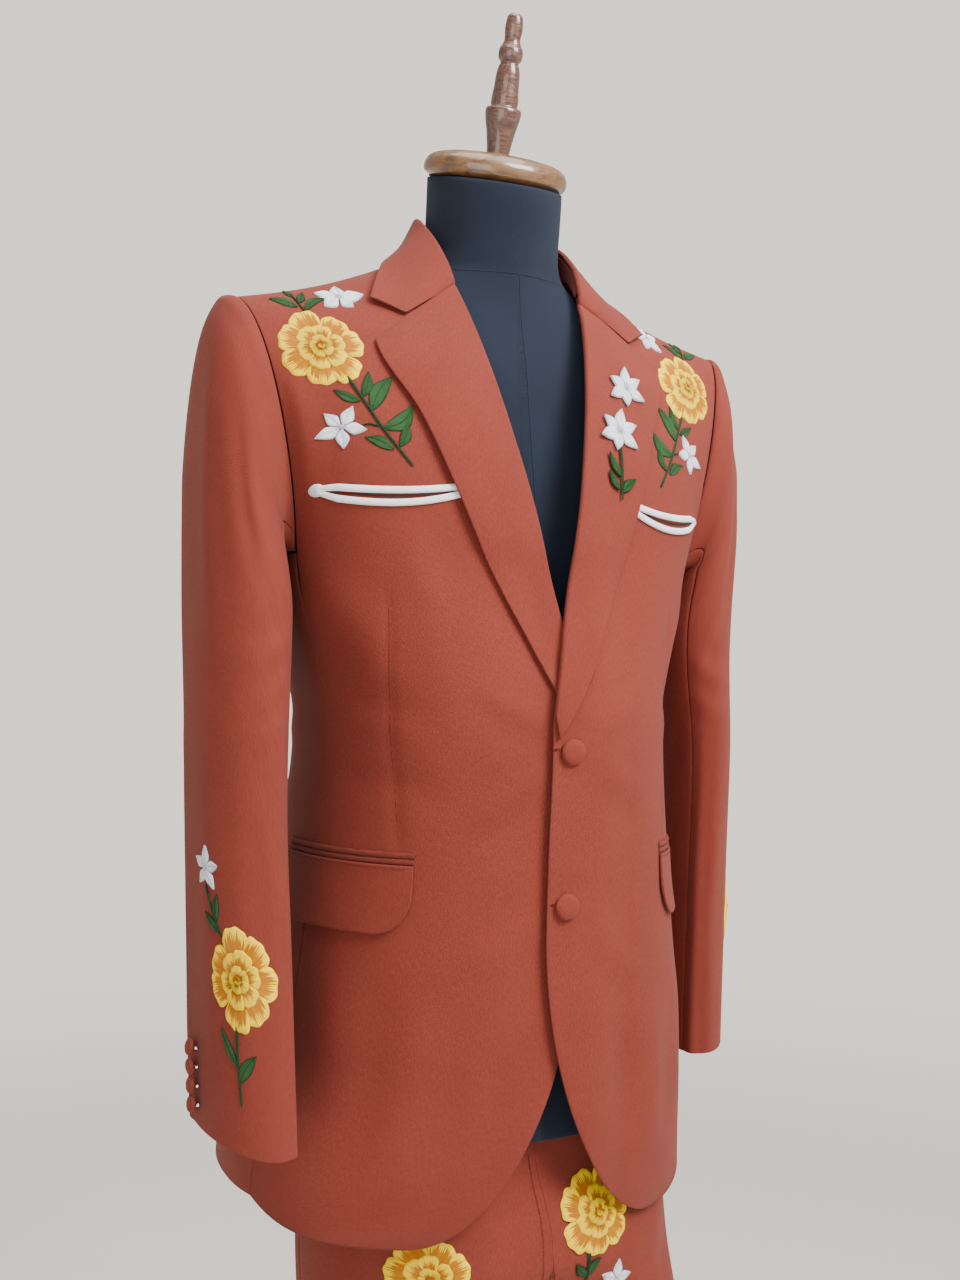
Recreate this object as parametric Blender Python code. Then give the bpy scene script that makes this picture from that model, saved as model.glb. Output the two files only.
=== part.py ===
"""Two-piece western suit worn by a limbless dress form on a two-post stand.

Metres, +Z up. The wearer's front faces -Y and the wearer's left is +X.
The origin is the centre of the stand's underside, on the floor.
Cloth pieces are thin walls worked out from body sections, seam by seam.
"""
import bpy
import numpy as np
from math import asin, cos, degrees, pi, radians, sin, sqrt, tan

# Driving sizes of the suit
SHOULDER = 1.730        # height of the shoulder point over the floor
CLOTH = 0.0018          # wall of a cloth panel
FOLDED = 0.0022         # wall of a turned or doubled piece
SEAM = 0.0003           # gap between neighbours at a seam
OVERLAP = 0.016         # left front runs this far past the centre line
LAP = 0.0068            # height of the left front over the right one
LAPEL_LIFT = 0.0013     # the lapel rolls this far clear of the front
LAPEL_BELLY = 0.0022    # and this much more along its middle
BREAK = -0.335          # level where the lapel roll begins
GORGE_X, GORGE_Z = 0.061, 0.020     # where the gorge seam meets the roll line
NOTCH_X, NOTCH_Z = 0.106, -0.013    # inner corner of the notch
LAPEL_TIP_X, LAPEL_TIP_Z = 0.131, -0.037
CUTAWAY_TOP = -0.500    # front edge starts to swing away from the centre here
HEM_FRONT = -0.738      # lowest level of the rounded front
HEM_SIDE = -0.712       # hem level from the side seam round the back
HEM_LOW_X = 0.108       # where the front hem is lowest
CUTAWAY_POWER = 1.85    # roundness of the cutaway
CHEST = -0.205          # level of the underarm, top of the side panels
FRONT_SEAM, BACK_SEAM = 75.0, 112.0     # turns of the two side seams
SIDE_Y = 0.008          # the widest line of the body
BUTTON_LEVELS = (-0.357, -0.477)
BUTTON_R, BUTTON_T = 0.0100, 0.0050
CUFF_BUTTON_R, CUFF_BUTTON_T = 0.0062, 0.0034
CUFF_BUTTONS = 4
CUFF_BUTTON_RISE, CUFF_BUTTON_STEP = 0.0162, 0.0133    # lowest centre over the cuff's edge, then each next
CUFF_BUTTON_TURN = 18.0     # ring angle from the back seam to the buttons
# Chest pocket of each side: its ends from the centre, the level of its ends, its dip
POCKET = {"left": (0.0885, 0.1750, -0.1630, 0.0085), "right": (0.0905, 0.1820, -0.1585, 0.0060)}
PIPING_LIFT = 0.0007
JET_TOP, JET_LOW = -0.4360, -0.4455
FLAP_LOW = -0.4990
FLAP_TURN_IN, FLAP_TURN_OUT = 38.5, 88.0
FLAP_CORNER = 0.028

# Driving sizes of the trousers
BAND_TOP, BAND_LOW = -0.600, -0.640
FORK = -0.870           # level of the crotch
FORK_BLEND = 0.105      # height over which the seat parts into two legs
TROUSER_HEM = -1.655
HANG = 0.008            # the legs hang this far towards the wearer's left

# Driving sizes of the form and its stand
RIM = -0.668            # lower rim of the form
RECESS_TOP = -0.588     # ceiling of the recess that takes the waistband
RIM_WALL = 0.011
NECK_TILT = radians(15.0)
POST_R = 0.012
POST_X = 0.085
BASE_A, BASE_B, BASE_T = 0.273, 0.200, 0.022

# Body sections of the jacket: level, half width, front, back, squareness
BODY = np.array([
    [-0.765, 0.1985, -0.1430, 0.2080, 2.2],
    [-0.573, 0.1850, -0.1540, 0.1580, 2.3],
    [-0.449, 0.1700, -0.1560, 0.1320, 2.3],
    [-0.330, 0.1615, -0.1600, 0.1240, 2.3],
    [-0.205, 0.1900, -0.1350, 0.1300, 2.6],
])
# Outer edge of the lapel: level, distance from the centre line
LAPEL_EDGE = np.array([
    [-0.348, -0.0120],
    [-0.310, 0.0120],
    [-0.261, 0.0360],
    [-0.213, 0.0600],
    [-0.162, 0.0825],
    [-0.098, 0.1070],
    [-0.037, 0.1310],
])
# Sleeve rings: outer x, outer level, inner x, inner level, half depth, twist, armhole share
SLEEVE = np.array([
    [0.2330, 0.000, 0.1900, -0.2045, 0.0700, 0.0, 1.00],
    [0.2610, -0.007, 0.1960, -0.2044, 0.0710, 0.0, 0.82],
    [0.2610, -0.015, 0.2015, -0.2065, 0.0720, 0.0, 0.55],
    [0.2625, -0.037, 0.2040, -0.2120, 0.0725, 1.0, 0.28],
    [0.2635, -0.080, 0.2040, -0.2210, 0.0720, 2.0, 0.10],
    [0.2630, -0.135, 0.1990, -0.2370, 0.0710, 3.0, 0.00],
    [0.2640, -0.190, 0.1940, -0.2600, 0.0690, 4.0, 0.00],
    [0.2645, -0.250, 0.1930, -0.2950, 0.0670, 5.0, 0.00],
    [0.2650, -0.320, 0.1950, -0.3450, 0.0650, 6.0, 0.00],
    [0.2655, -0.390, 0.1980, -0.4030, 0.0635, 7.0, 0.00],
    [0.2655, -0.460, 0.1990, -0.4660, 0.0625, 8.0, 0.00],
    [0.2655, -0.530, 0.2000, -0.5320, 0.0620, 9.0, 0.00],
    [0.2655, -0.590, 0.2010, -0.5900, 0.0615, 10.0, 0.00],
    [0.2650, -0.640, 0.2015, -0.6380, 0.0615, 10.0, 0.00],
])
SWING = {"left": -0.030, "right": 0.086}     # how far each cuff hangs forward
SWING_POWER = {"left": 0.5, "right": 1.4}   # how late along the arm the swing comes
LEAN = {"left": 0.009, "right": 0.0}        # how far the upper arm is drawn in
SLEEVE_FRONT_SEAM, SLEEVE_BACK_SEAM = 128.0, 262.0
SLEEVE_TURN = 74.0      # the back seam runs forward by this turn down to the cuff
CUFF_SLANT, CUFF_SLANT_TURN = 0.155, 25.0    # the cuff hangs lower in front
# How the worn jacket departs from an even one: left side in, left collar in and down, right skirt out
NARROW, NARROW_DROP, NARROW_FROM, NARROW_OVER = 0.009, 0.45, -0.270, 0.100
COLLAR_IN, COLLAR_LOW = 0.0015, 0.005
HEAD_IN = 0.006         # the left sleeve's head lies in by this much
FLARE, FLARE_FROM, FLARE_OVER = 0.021, -0.600, 0.095
ARM_FRONT, ARM_BACK = 138.0, 216.0          # ring angles of the armhole corners

# Trouser hip sections: level, half width, front, back
HIP = np.array([
    [-0.870, 0.1640, -0.1400, 0.0720],
    [-0.800, 0.1650, -0.1410, 0.0740],
    [-0.740, 0.1630, -0.1350, 0.0800],
    [-0.690, 0.1545, -0.1190, 0.0870],
    [-0.640, 0.1490, -0.1150, 0.0890],
    [-0.600, 0.1460, -0.1110, 0.0920],
])
# Trouser leg sections: level, centre x, centre y, half width, half depth
LEG = np.array([
    [-1.655, 0.0870, -0.0120, 0.0560, 0.0800],
    [-1.450, 0.0870, -0.0140, 0.0590, 0.0790],
    [-1.200, 0.0870, -0.0190, 0.0660, 0.0820],
    [-1.000, 0.0860, -0.0270, 0.0745, 0.0930],
    [-0.870, 0.0850, -0.0330, 0.0790, 0.1060],
    [-0.700, 0.0850, -0.0330, 0.0790, 0.1060],
])
# Form sections: level, half width, front, back, squareness
FORM = np.array([
    [-0.668, 0.1660, -0.1320, 0.1150, 2.2],
    [-0.560, 0.1600, -0.1310, 0.1130, 2.2],
    [-0.449, 0.1480, -0.1240, 0.1080, 2.2],
    [-0.330, 0.1400, -0.1170, 0.1020, 2.2],
    [-0.205, 0.1640, -0.1060, 0.1080, 2.3],
    [-0.100, 0.1740, -0.0890, 0.0880, 2.2],
    [-0.040, 0.1760, -0.0780, 0.0700, 2.0],
    [-0.005, 0.1660, -0.0690, 0.0500, 1.7],
    [0.0125, 0.1380, -0.0660, 0.0430, 1.5],
    [0.0280, 0.0980, -0.0640, 0.0410, 1.6],
    [0.0430, 0.0700, -0.0630, 0.0410, 1.8],
    [0.0560, 0.0610, -0.0635, 0.0410, 2.0],
    [0.0700, 0.0600, -0.0645, 0.0410, 2.0],
    [0.0950, 0.0600, -0.0670, 0.0400, 2.0],
    [0.1280, 0.0600, -0.0700, 0.0390, 2.0],
])
# Neck cap and finial outlines: radius, height along the tilted axis
CAP = ((0.055, 0.0), (0.062, 0.003), (0.065, 0.010), (0.063, 0.017), (0.055, 0.022), (0.038, 0.025))
FINIAL = (
    (0.0098, 0.0), (0.0102, 0.004), (0.0160, 0.036), (0.0155, 0.039), (0.0120, 0.041),
    (0.0122, 0.045), (0.0092, 0.074), (0.0080, 0.077), (0.0104, 0.082), (0.0108, 0.087),
    (0.0082, 0.092), (0.0072, 0.095), (0.0076, 0.104), (0.0066, 0.115), (0.0040, 0.1175),
)

COLORS = {
    "cloth": ((0.392, 0.058, 0.032), 0.85),
    "piping": ((0.80, 0.80, 0.82), 0.60),
    "jersey": ((0.013, 0.024, 0.045), 0.90),
    "honey_wood": ((0.420, 0.180, 0.050), 0.35),
    "turned_wood": ((0.230, 0.095, 0.060), 0.35),
    "steel": ((0.55, 0.55, 0.56), 0.35),
}


def clear_scene():
    for obj in list(bpy.data.objects):
        bpy.data.objects.remove(obj, do_unlink=True)


def material(key):
    found = bpy.data.materials.get(key)
    if found:
        return found
    color, rough = COLORS[key]
    mat = bpy.data.materials.new(key)
    mat.use_nodes = True
    shader = mat.node_tree.nodes["Principled BSDF"]
    shader.inputs["Base Color"].default_value = (*color, 1.0)
    shader.inputs["Roughness"].default_value = rough
    shader.inputs["Metallic"].default_value = 1.0 if key == "steel" else 0.0
    return mat


def add_object(name, points, faces, key):
    """One closed solid, with its levels raised from the shoulder datum to the floor."""
    pts = np.array(points, float)
    pts[:, 2] += SHOULDER
    tris = []
    for face in faces:
        for k in range(1, len(face) - 1):
            tris.append((face[0], face[k], face[k + 1]))
    corner = pts[np.array(tris)]
    volume = np.einsum("ij,ij->i", corner[:, 0], np.cross(corner[:, 1], corner[:, 2])).sum()
    if volume < 0:
        tris = [t[::-1] for t in tris]
    mesh = bpy.data.meshes.new(name)
    mesh.from_pydata([tuple(p) for p in pts], [], tris)
    mesh.validate()
    mesh.shade_smooth()
    mesh.set_sharp_from_angle(angle=radians(40))
    mesh.materials.append(material(key))
    obj = bpy.data.objects.new(name, mesh)
    bpy.context.scene.collection.objects.link(obj)
    return obj


def settle(points, worn="jacket"):
    """How the jacket sits on the form: its left side closer in, its right skirt swung out."""
    p = np.array(points, dtype=float)
    x, z = p[..., 0], p[..., 2]
    drop = NARROW_DROP * smooth((NARROW_FROM - z) / NARROW_OVER)
    left = NARROW * smooth((x - 0.030) / 0.130) * (1 - drop)
    near_neck = smooth(x / 0.045) * smooth((0.170 - x) / 0.100) * smooth(z / 0.050)
    left = left + COLLAR_IN * near_neck
    right = FLARE * smooth((-x - 0.090) / 0.090) * smooth((FLARE_FROM - z) / FLARE_OVER)
    p[..., 0] = x - left - (right if worn == "jacket" else 0)
    p[..., 2] = z - COLLAR_LOW * near_neck
    return p


def wall(name, outer, inner, key, mirror=False, worn="jacket"):
    """Closed wall between two matching grids of points, settled as it is worn."""
    outer, inner = np.array(outer), np.array(inner)
    rows, cols = outer.shape[:2]
    flat = np.concatenate([outer.reshape(-1, 3), inner.reshape(-1, 3)])
    if mirror:
        flat = flat * (-1, 1, 1)
    if worn:
        flat = settle(flat, worn)
    back = rows * cols
    faces = []
    for r in range(rows - 1):
        for c in range(cols - 1):
            a, b, d, e = r * cols + c, r * cols + c + 1, (r + 1) * cols + c + 1, (r + 1) * cols + c
            faces.append((a, b, d, e))
            faces.append((back + a, back + e, back + d, back + b))
    rim = [c for c in range(cols)]
    rim += [r * cols + cols - 1 for r in range(1, rows)]
    rim += [(rows - 1) * cols + c for c in range(cols - 2, -1, -1)]
    rim += [r * cols for r in range(rows - 2, 0, -1)]
    for i, a in enumerate(rim):
        b = rim[(i + 1) % len(rim)]
        faces.append((b, a, back + a, back + b))
    return add_object(name, flat, faces, key)


def loft(name, rings, key, mirror=False):
    """Solid through closed rings of equal count, with flat fans at both ends."""
    rings = [np.array(r) for r in rings]
    n = len(rings[0])
    pts = list(np.concatenate(rings))
    if mirror:
        pts = [p * (-1, 1, 1) for p in pts]
        rings = [r * (-1, 1, 1) for r in rings]
    faces = []
    for k in range(len(rings) - 1):
        for i in range(n):
            j = (i + 1) % n
            faces.append((k * n + i, k * n + j, (k + 1) * n + j, (k + 1) * n + i))
    first, last = len(pts), len(pts) + 1
    pts += [rings[0].mean(axis=0), rings[-1].mean(axis=0)]
    top = (len(rings) - 1) * n
    for i in range(n):
        j = (i + 1) % n
        faces.append((j, i, first))
        faces.append((top + i, top + j, last))
    return add_object(name, pts, faces, key)


def read(table, level):
    """Smooth reading of a section table at one level."""
    x = table[:, 0]
    level = min(max(level, x[0]), x[-1])
    i = min(int(np.searchsorted(x, level, side="right")) - 1, len(x) - 2)
    h = x[i + 1] - x[i]
    u = (level - x[i]) / h
    slopes = np.gradient(table[:, 1:], x, axis=0)
    slopes[-1] = 0.0
    y0, y1, m0, m1 = table[i, 1:], table[i + 1, 1:], slopes[i], slopes[i + 1]
    return ((2 * u**3 - 3 * u**2 + 1) * y0 + (u**3 - 2 * u**2 + u) * h * m0
            + (3 * u**2 - 2 * u**3) * y1 + (u**3 - u**2) * h * m1)


def mix(a, b, t):
    return np.asarray(a) * (1 - t) + np.asarray(b) * t


def smooth(t):
    """Eased step from 0 to 1, for a number or an array."""
    t = np.clip(t, 0.0, 1.0)
    return t * t * (3 - 2 * t)


def bezier(p0, p1, p2, p3, t):
    return (1 - t)**3 * p0 + 3 * (1 - t)**2 * t * p1 + 3 * (1 - t) * t * t * p2 + t**3 * p3


def oval(turn, half, front, back, power, mid_y):
    """Point of a flattened ring at a turn in degrees from the centre front."""
    s, c = sin(radians(turn)), cos(radians(turn))
    depth = mid_y - front if c > 0 else back - mid_y
    x = half * abs(s)**(2 / power) * (1 if s >= 0 else -1)
    y = mid_y - depth * abs(c)**(2 / power) * (1 if c >= 0 else -1)
    return x, y


# Jacket body surface

def body(turn, level):
    half, front, back, power = read(BODY, level)
    x, y = oval(turn, half, front, back, power, SIDE_Y)
    return np.array([x, y, level])


def turn_of(x, level):
    """Turn at which the body stands x out from the centre line, on the front."""
    half, front, back, power = read(BODY, level)
    s = min(abs(x) / half, 1.0)**(power / 2)
    return degrees(asin(s)) * (1 if x >= 0 else -1)


NECK = np.array([0.074, -0.004, 0.0565])    # where the shoulder seam meets the neck
TIP = np.array([0.233, -0.012, 0.000])      # shoulder point
NAPE = np.array([0.000, 0.060, 0.066])      # centre of the back neck
SEAM_DIP = 0.0065                           # hollow of the shoulder line
NECK_SHARE = 0.34                           # share of the back's top edge on the neck


def shoulder_line(k):
    return mix(NECK, TIP, k) + np.array([0, 0, -SEAM_DIP * sin(pi * k)])


def upper_front(s, t):
    """Chest above the underarm: s from centre to armhole, t from chest to shoulder."""
    p0 = body(FRONT_SEAM * s, CHEST)
    p3 = shoulder_line(s)
    p1 = p0 + mix([0, 0.004, 0.085], [0.0095, -0.034, 0.055], s)
    p2 = p3 + mix([0.002, -0.070, 0.004], [-0.012, -0.058, -0.004], s)
    return bezier(p0, p1, p2, p3, t)


def upper_back(s, t):
    """Back above the underarm: s from centre back to armhole, t from chest to seam."""
    p0 = body(180 - (180 - BACK_SEAM) * s, CHEST)
    if s < NECK_SHARE:
        k = s / NECK_SHARE
        p3 = bezier(NAPE, NAPE + (0.035, 0, 0), NECK + (0, 0.035, 0), NECK, k)
        reach = mix([0, 0.006, -0.055], [0, 0.055, -0.006], smooth(k))
    else:
        k = (s - NECK_SHARE) / (1 - NECK_SHARE)
        p3 = shoulder_line(k)
        reach = mix([0, 0.055, -0.006], [-0.010, 0.050, -0.006], k)
    p1 = p0 + mix([0, 0.012, 0.090], [0.004, 0.014, 0.060], s)
    return bezier(p0, p1, p3 + reach, p3, t)


def normal_of(surface, a, b, da, db):
    """Outward unit normal of a surface function at (a, b)."""
    du = surface(a + da, b) - surface(a - da, b)
    dv = surface(a, b + db) - surface(a, b - db)
    n = np.cross(du, dv)
    return n / np.linalg.norm(n)


def body_out(turn, level, out):
    n = normal_of(body, turn, min(level, CHEST - 0.003), 0.5, 0.003)
    return body(turn, level) + n * out


def shoulder_normal(n, t):
    """Both sides of the shoulder seam share one upright normal."""
    along = TIP - NECK
    upright = np.array([-along[2], 0, along[0]]) / np.hypot(along[0], along[2])
    n = mix(n, upright, smooth((t - 0.75) / 0.25))
    return n / np.linalg.norm(n)


def front_out(s, t, out):
    n = normal_of(upper_front, s, t, 0.01, 0.01)
    return upper_front(s, t) + shoulder_normal(n, t) * out


def back_out(s, t, out):
    n = -normal_of(upper_back, s, t, 0.004, 0.01)
    return upper_back(s, t) + shoulder_normal(n, t if s > NECK_SHARE else 0.0) * out


def patch_at(x, level):
    """(s, t) of the chest patch at a given x and level, by Newton steps."""
    s, t = min(max(x / 0.2, 0.02), 0.9), min(max((level - CHEST) / 0.26, 0.02), 0.9)
    for _ in range(25):
        p = upper_front(s, t)
        ds = (upper_front(s + 1e-4, t) - p) / 1e-4
        dt = (upper_front(s, t + 1e-4) - p) / 1e-4
        ex, ez = x - p[0], level - p[2]
        det = ds[0] * dt[2] - dt[0] * ds[2]
        s += (ex * dt[2] - dt[0] * ez) / det
        t += (ds[0] * ez - ex * ds[2]) / det
    return s, t


def front_at(x, level, out):
    """Point of the front, x out from the centre line, moved out from the cloth."""
    if level <= CHEST:
        return body_out(turn_of(x, level), level, out)
    s, t = patch_at(x, level)
    return front_out(s, t, out)


# Jacket fronts

def roll_x(level):
    """Distance of the lapel's roll line from the centre."""
    if level > GORGE_Z:
        return GORGE_X + (level - GORGE_Z) * (NECK[0] - GORGE_X) / (NECK[2] - GORGE_Z)
    share = (level - BREAK) / (GORGE_Z - BREAK)
    return -OVERLAP + share * (GORGE_X + OVERLAP)


def edge_x(level):
    """Inner edge of the front: cutaway, straight buttoned edge, then roll line."""
    if level > BREAK:
        return roll_x(level)
    if level > CUTAWAY_TOP:
        return -OVERLAP
    q = min((CUTAWAY_TOP - level) / (CUTAWAY_TOP - HEM_FRONT), 1.0)
    reach = HEM_LOW_X + OVERLAP
    return HEM_LOW_X - reach * (1 - q**CUTAWAY_POWER)**(1 / CUTAWAY_POWER)


def lap_lift(x, side):
    """The left front stands over the right one near the centre line."""
    return LAP * (1 - smooth((x - 0.020) / 0.050)) if side == "left" else 0.0


GAP_TURN = degrees(SEAM / 2 / 0.165)
GAP_T = 0.0008
FRONT_COLS = np.linspace(0, 1, 10)
# levels of the rows below the underarm, read along the front edge
ROW_LEVELS = np.array([HEM_FRONT, -0.731, -0.714, -0.688, -0.652, -0.608, -0.556, -0.500, -0.445,
                       -0.395, -0.357, -0.330, -0.305, -0.280, -0.255, -0.230, CHEST])
LOWER_ROWS = (ROW_LEVELS - HEM_FRONT) / (CHEST - HEM_FRONT)
ARM_ROWS, SIDE_COLS = 8, 5
UPPER_ROWS = np.linspace(0, 1, ARM_ROWS + 1)[1:]


def side_rise(q):
    """Level of a row at the side seam, q from hem to underarm."""
    return mix(HEM_SIDE, CHEST, q)


def patch_edge(t):
    """s at which the roll line crosses a row of the chest patch."""
    low, high = -0.10, 0.60
    for _ in range(40):
        mid = (low + high) / 2
        p = upper_front(mid, t)
        if p[0] < roll_x(p[2]):
            low = mid
        else:
            high = mid
    return max(low, 0.0) if t > 0.8 else low


def front_panel_rows():
    """Rows of (kind, a, b) positions of the front panel, hem to shoulder."""
    rows = []
    for q in LOWER_ROWS:
        level_in = mix(HEM_FRONT, CHEST, q)
        turn_in = turn_of(edge_x(level_in), level_in)
        level_out = side_rise(q)
        turn_out = FRONT_SEAM - GAP_TURN
        rows.append([("low", mix(turn_in, turn_out, u), mix(level_in, level_out, u * u)) for u in FRONT_COLS])
    for t in UPPER_ROWS:
        t = min(t, 1 - GAP_T)
        s_in = patch_edge(t)
        rows.append([("up", mix(s_in, 1.0, u), t) for u in FRONT_COLS])
    return rows


def front_point(spot, out, side):
    kind, a, b = spot
    x = body(a, b)[0] if kind == "low" else upper_front(a, b)[0]
    out += lap_lift(x, side)
    return body_out(a, b, out) if kind == "low" else front_out(a, b, out)


def build_fronts():
    rows = front_panel_rows()
    for side in ("left", "right"):
        outer = [[front_point(p, 0.0, side) for p in row] for row in rows]
        inner = [[front_point(p, -CLOTH, side) for p in row] for row in rows]
        wall("jacket_front_" + side, outer, inner, "cloth", side == "right")


def build_sides_and_backs():
    side_cols = np.linspace(FRONT_SEAM + GAP_TURN, BACK_SEAM - GAP_TURN, SIDE_COLS + 1)
    back_cols = np.linspace(0, 1, 9)
    for side in ("left", "right"):
        outer, inner = [], []
        for q in LOWER_ROWS:
            level = side_rise(q)
            outer.append([body_out(turn, level, 0.0) for turn in side_cols])
            inner.append([body_out(turn, level, -CLOTH) for turn in side_cols])
        wall("jacket_side_" + side, outer, inner, "cloth", side == "right")
        outer, inner = [], []
        last = 180 - degrees(SEAM / 2 / 0.145) * 0.6
        for q in LOWER_ROWS:
            level = side_rise(q)
            turns = [mix(last, BACK_SEAM + GAP_TURN, u) for u in back_cols]
            outer.append([body_out(turn, level, 0.0) for turn in turns])
            inner.append([body_out(turn, level, -CLOTH) for turn in turns])
        for t in UPPER_ROWS:
            t = min(t, 1 - GAP_T)
            shares = [mix(0.0008, 1.0, u) for u in back_cols]
            outer.append([back_out(s, t, 0.0) for s in shares])
            inner.append([back_out(s, t, -CLOTH) for s in shares])
        outer, inner = np.array(outer), np.array(inner)
        for grid in (outer, inner):
            grid[:, 0, 0] = SEAM / 2
        wall("jacket_back_" + side, outer, inner, "cloth", side == "right")


# Lapels

def lapel_rows(count=15, cols=7):
    """Positions (x, level) over the lapel, from its lower end up to the gorge."""
    rows = []
    top = [(GORGE_X, GORGE_Z), (NOTCH_X, NOTCH_Z), (LAPEL_TIP_X, LAPEL_TIP_Z)]
    share = sqrt((NOTCH_X - GORGE_X)**2 + (NOTCH_Z - GORGE_Z)**2)
    share /= share + sqrt((LAPEL_TIP_X - NOTCH_X)**2 + (LAPEL_TIP_Z - NOTCH_Z)**2)
    for k in range(count):
        q = k / (count - 1)
        fold = mix(BREAK + 0.004, GORGE_Z, q)
        edge = mix(LAPEL_EDGE[0, 0], LAPEL_EDGE[-1, 0], q)
        edge_dist = read(LAPEL_EDGE, edge)[0]
        row = []
        for w in np.linspace(0, 1, cols):
            straight = mix([roll_x(fold), fold], [edge_dist, edge], w)
            if w < share:
                bent = mix(top[0], top[1], w / share)
            else:
                bent = mix(top[1], top[2], (w - share) / (1 - share))
            flat = mix(top[0], top[2], w)
            row.append(straight + (bent - flat) * smooth((q - 0.7) / 0.3))
        rows.append(row)
    return rows


def build_lapels():
    rows = lapel_rows()
    for side in ("left", "right"):
        outer, inner = [], []
        for row in rows:
            middle = np.sin(pi * np.linspace(0, 1, len(row))) * LAPEL_BELLY
            middle *= smooth((row[0][1] - BREAK - 0.06) / 0.10) * smooth((GORGE_Z - row[0][1]) / 0.05)
            lifts = [lap_lift(p[0], side) + LAPEL_LIFT + m for p, m in zip(row, middle)]
            inner.append([front_at(p[0], p[1], lift) for p, lift in zip(row, lifts)])
            outer.append([front_at(p[0], p[1], lift + FOLDED) for p, lift in zip(row, lifts)])
        wall("lapel_" + side, outer, inner, "cloth", side == "right")


# Collar

# Half collar from nape to gorge: fold x, y, level, then outer edge x, y, level
COLLAR = np.array([
    [0.00, 0.0000, 0.0560, 0.0980, 0.0000, 0.0780, 0.0580],
    [0.20, 0.0330, 0.0480, 0.0975, 0.0390, 0.0690, 0.0600],
    [0.40, 0.0600, 0.0220, 0.0950, 0.0680, 0.0400, 0.0550],
    [0.55, 0.0695, -0.0060, 0.0870, 0.0860, 0.0080, 0.0515],
    [0.70, 0.0700, -0.0330, 0.0680, 0.1045, -0.0170, 0.0440],
    [0.85, 0.0665, -0.0570, 0.0450, 0.1200, -0.0400, 0.0250],
    [1.00, 0.0610, -0.0745, 0.0235, 0.1330, -0.0590, 0.0015],
])
COLLAR_BOW = 0.0015     # how far the fall bows out between fold and edge
STAND_END = 0.86        # the stand runs this far towards the gorge
GORGE_SHARE = 0.62      # share of the collar's front end sewn to the lapel
GORGE_GAP = (0.0008, 0.0020)


def collar_point(p, w):
    """Point of the collar's fall: p from nape to gorge, w from fold to edge."""
    v = read(COLLAR, p)
    fold, edge = v[:3], v[3:]
    base = mix(fold, edge, w)
    bow = np.array([4.4 * base[0], 0.0, 1.0])
    base = base + bow / np.linalg.norm(bow) * COLLAR_BOW * sin(pi * w)
    along = min(w / GORGE_SHARE, 1.0)
    spot = mix([GORGE_X, GORGE_Z], [NOTCH_X, NOTCH_Z], along) + GORGE_GAP
    seam = front_at(spot[0], spot[1], LAPEL_LIFT)
    if w > GORGE_SHARE:
        seam = mix(seam, edge, (w - GORGE_SHARE) / (1 - GORGE_SHARE))
    return mix(base, seam, smooth((p - 0.72) / 0.28))


def collar_grid(ps, ws):
    return np.array([[collar_point(p, w) for w in ws] for p in ps])


def grid_normals(grid):
    du = np.gradient(grid, axis=0)
    dv = np.gradient(grid, axis=1)
    n = np.cross(du, dv)
    return n / np.linalg.norm(n, axis=2, keepdims=True)


def build_collar():
    half = np.linspace(0, 1, 13)
    ws = np.linspace(0, 1, 7)
    right = collar_grid(half, ws)
    full = np.concatenate([(right * (-1, 1, 1))[::-1], right[1:]])
    n = grid_normals(full)
    if n[12, 3, 2] < 0:
        n = -n
    wall("collar_fall", full + n * FOLDED, full, "cloth")
    stand = []
    for p in np.linspace(0, STAND_END, 10):
        fold = read(COLLAR, p)[:3]
        foot = neck_seam(p)
        out = np.array([fold[0], fold[1] * 0.8, 0.0])
        out /= np.linalg.norm(out)
        top = fold - out * 0.0016 - (0, 0, 0.0024)
        stand.append([mix(foot, top, w) for w in (0.0, 0.5, 1.0)])
    stand = np.array(stand)
    full = np.concatenate([(stand * (-1, 1, 1))[::-1], stand[1:]])
    out = full * (1, 0.8, 0)
    out /= np.linalg.norm(out, axis=2, keepdims=True)
    wall("collar_stand", full, full - out * CLOTH, "cloth")


def neck_seam(p):
    """Foot of the stand, just over the neck edge of the back and fronts."""
    k = p / 0.56
    if k <= 1:
        foot = bezier(NAPE, NAPE + (0.035, 0, 0), NECK + (0, 0.035, 0), NECK, k)
    else:
        t = 1 - (k - 1) / (STAND_END / 0.56 - 1) * 0.24
        foot = upper_front(max(patch_edge(t), 0.0), t)
    return foot + (-0.0012, 0, SEAM + 0.0012)


# Sleeves

def armhole(angle):
    """Point of the armhole seam at a ring angle: 0 shoulder, 90 front, 180 underarm."""
    if angle <= ARM_FRONT:
        return upper_front(1.0, 1 - angle / ARM_FRONT)
    if angle >= ARM_BACK:
        return upper_back(1.0, (angle - ARM_BACK) / (360 - ARM_BACK))
    k = (angle - ARM_FRONT) / (ARM_BACK - ARM_FRONT)
    return body(mix(FRONT_SEAM, BACK_SEAM, k), CHEST)


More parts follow.
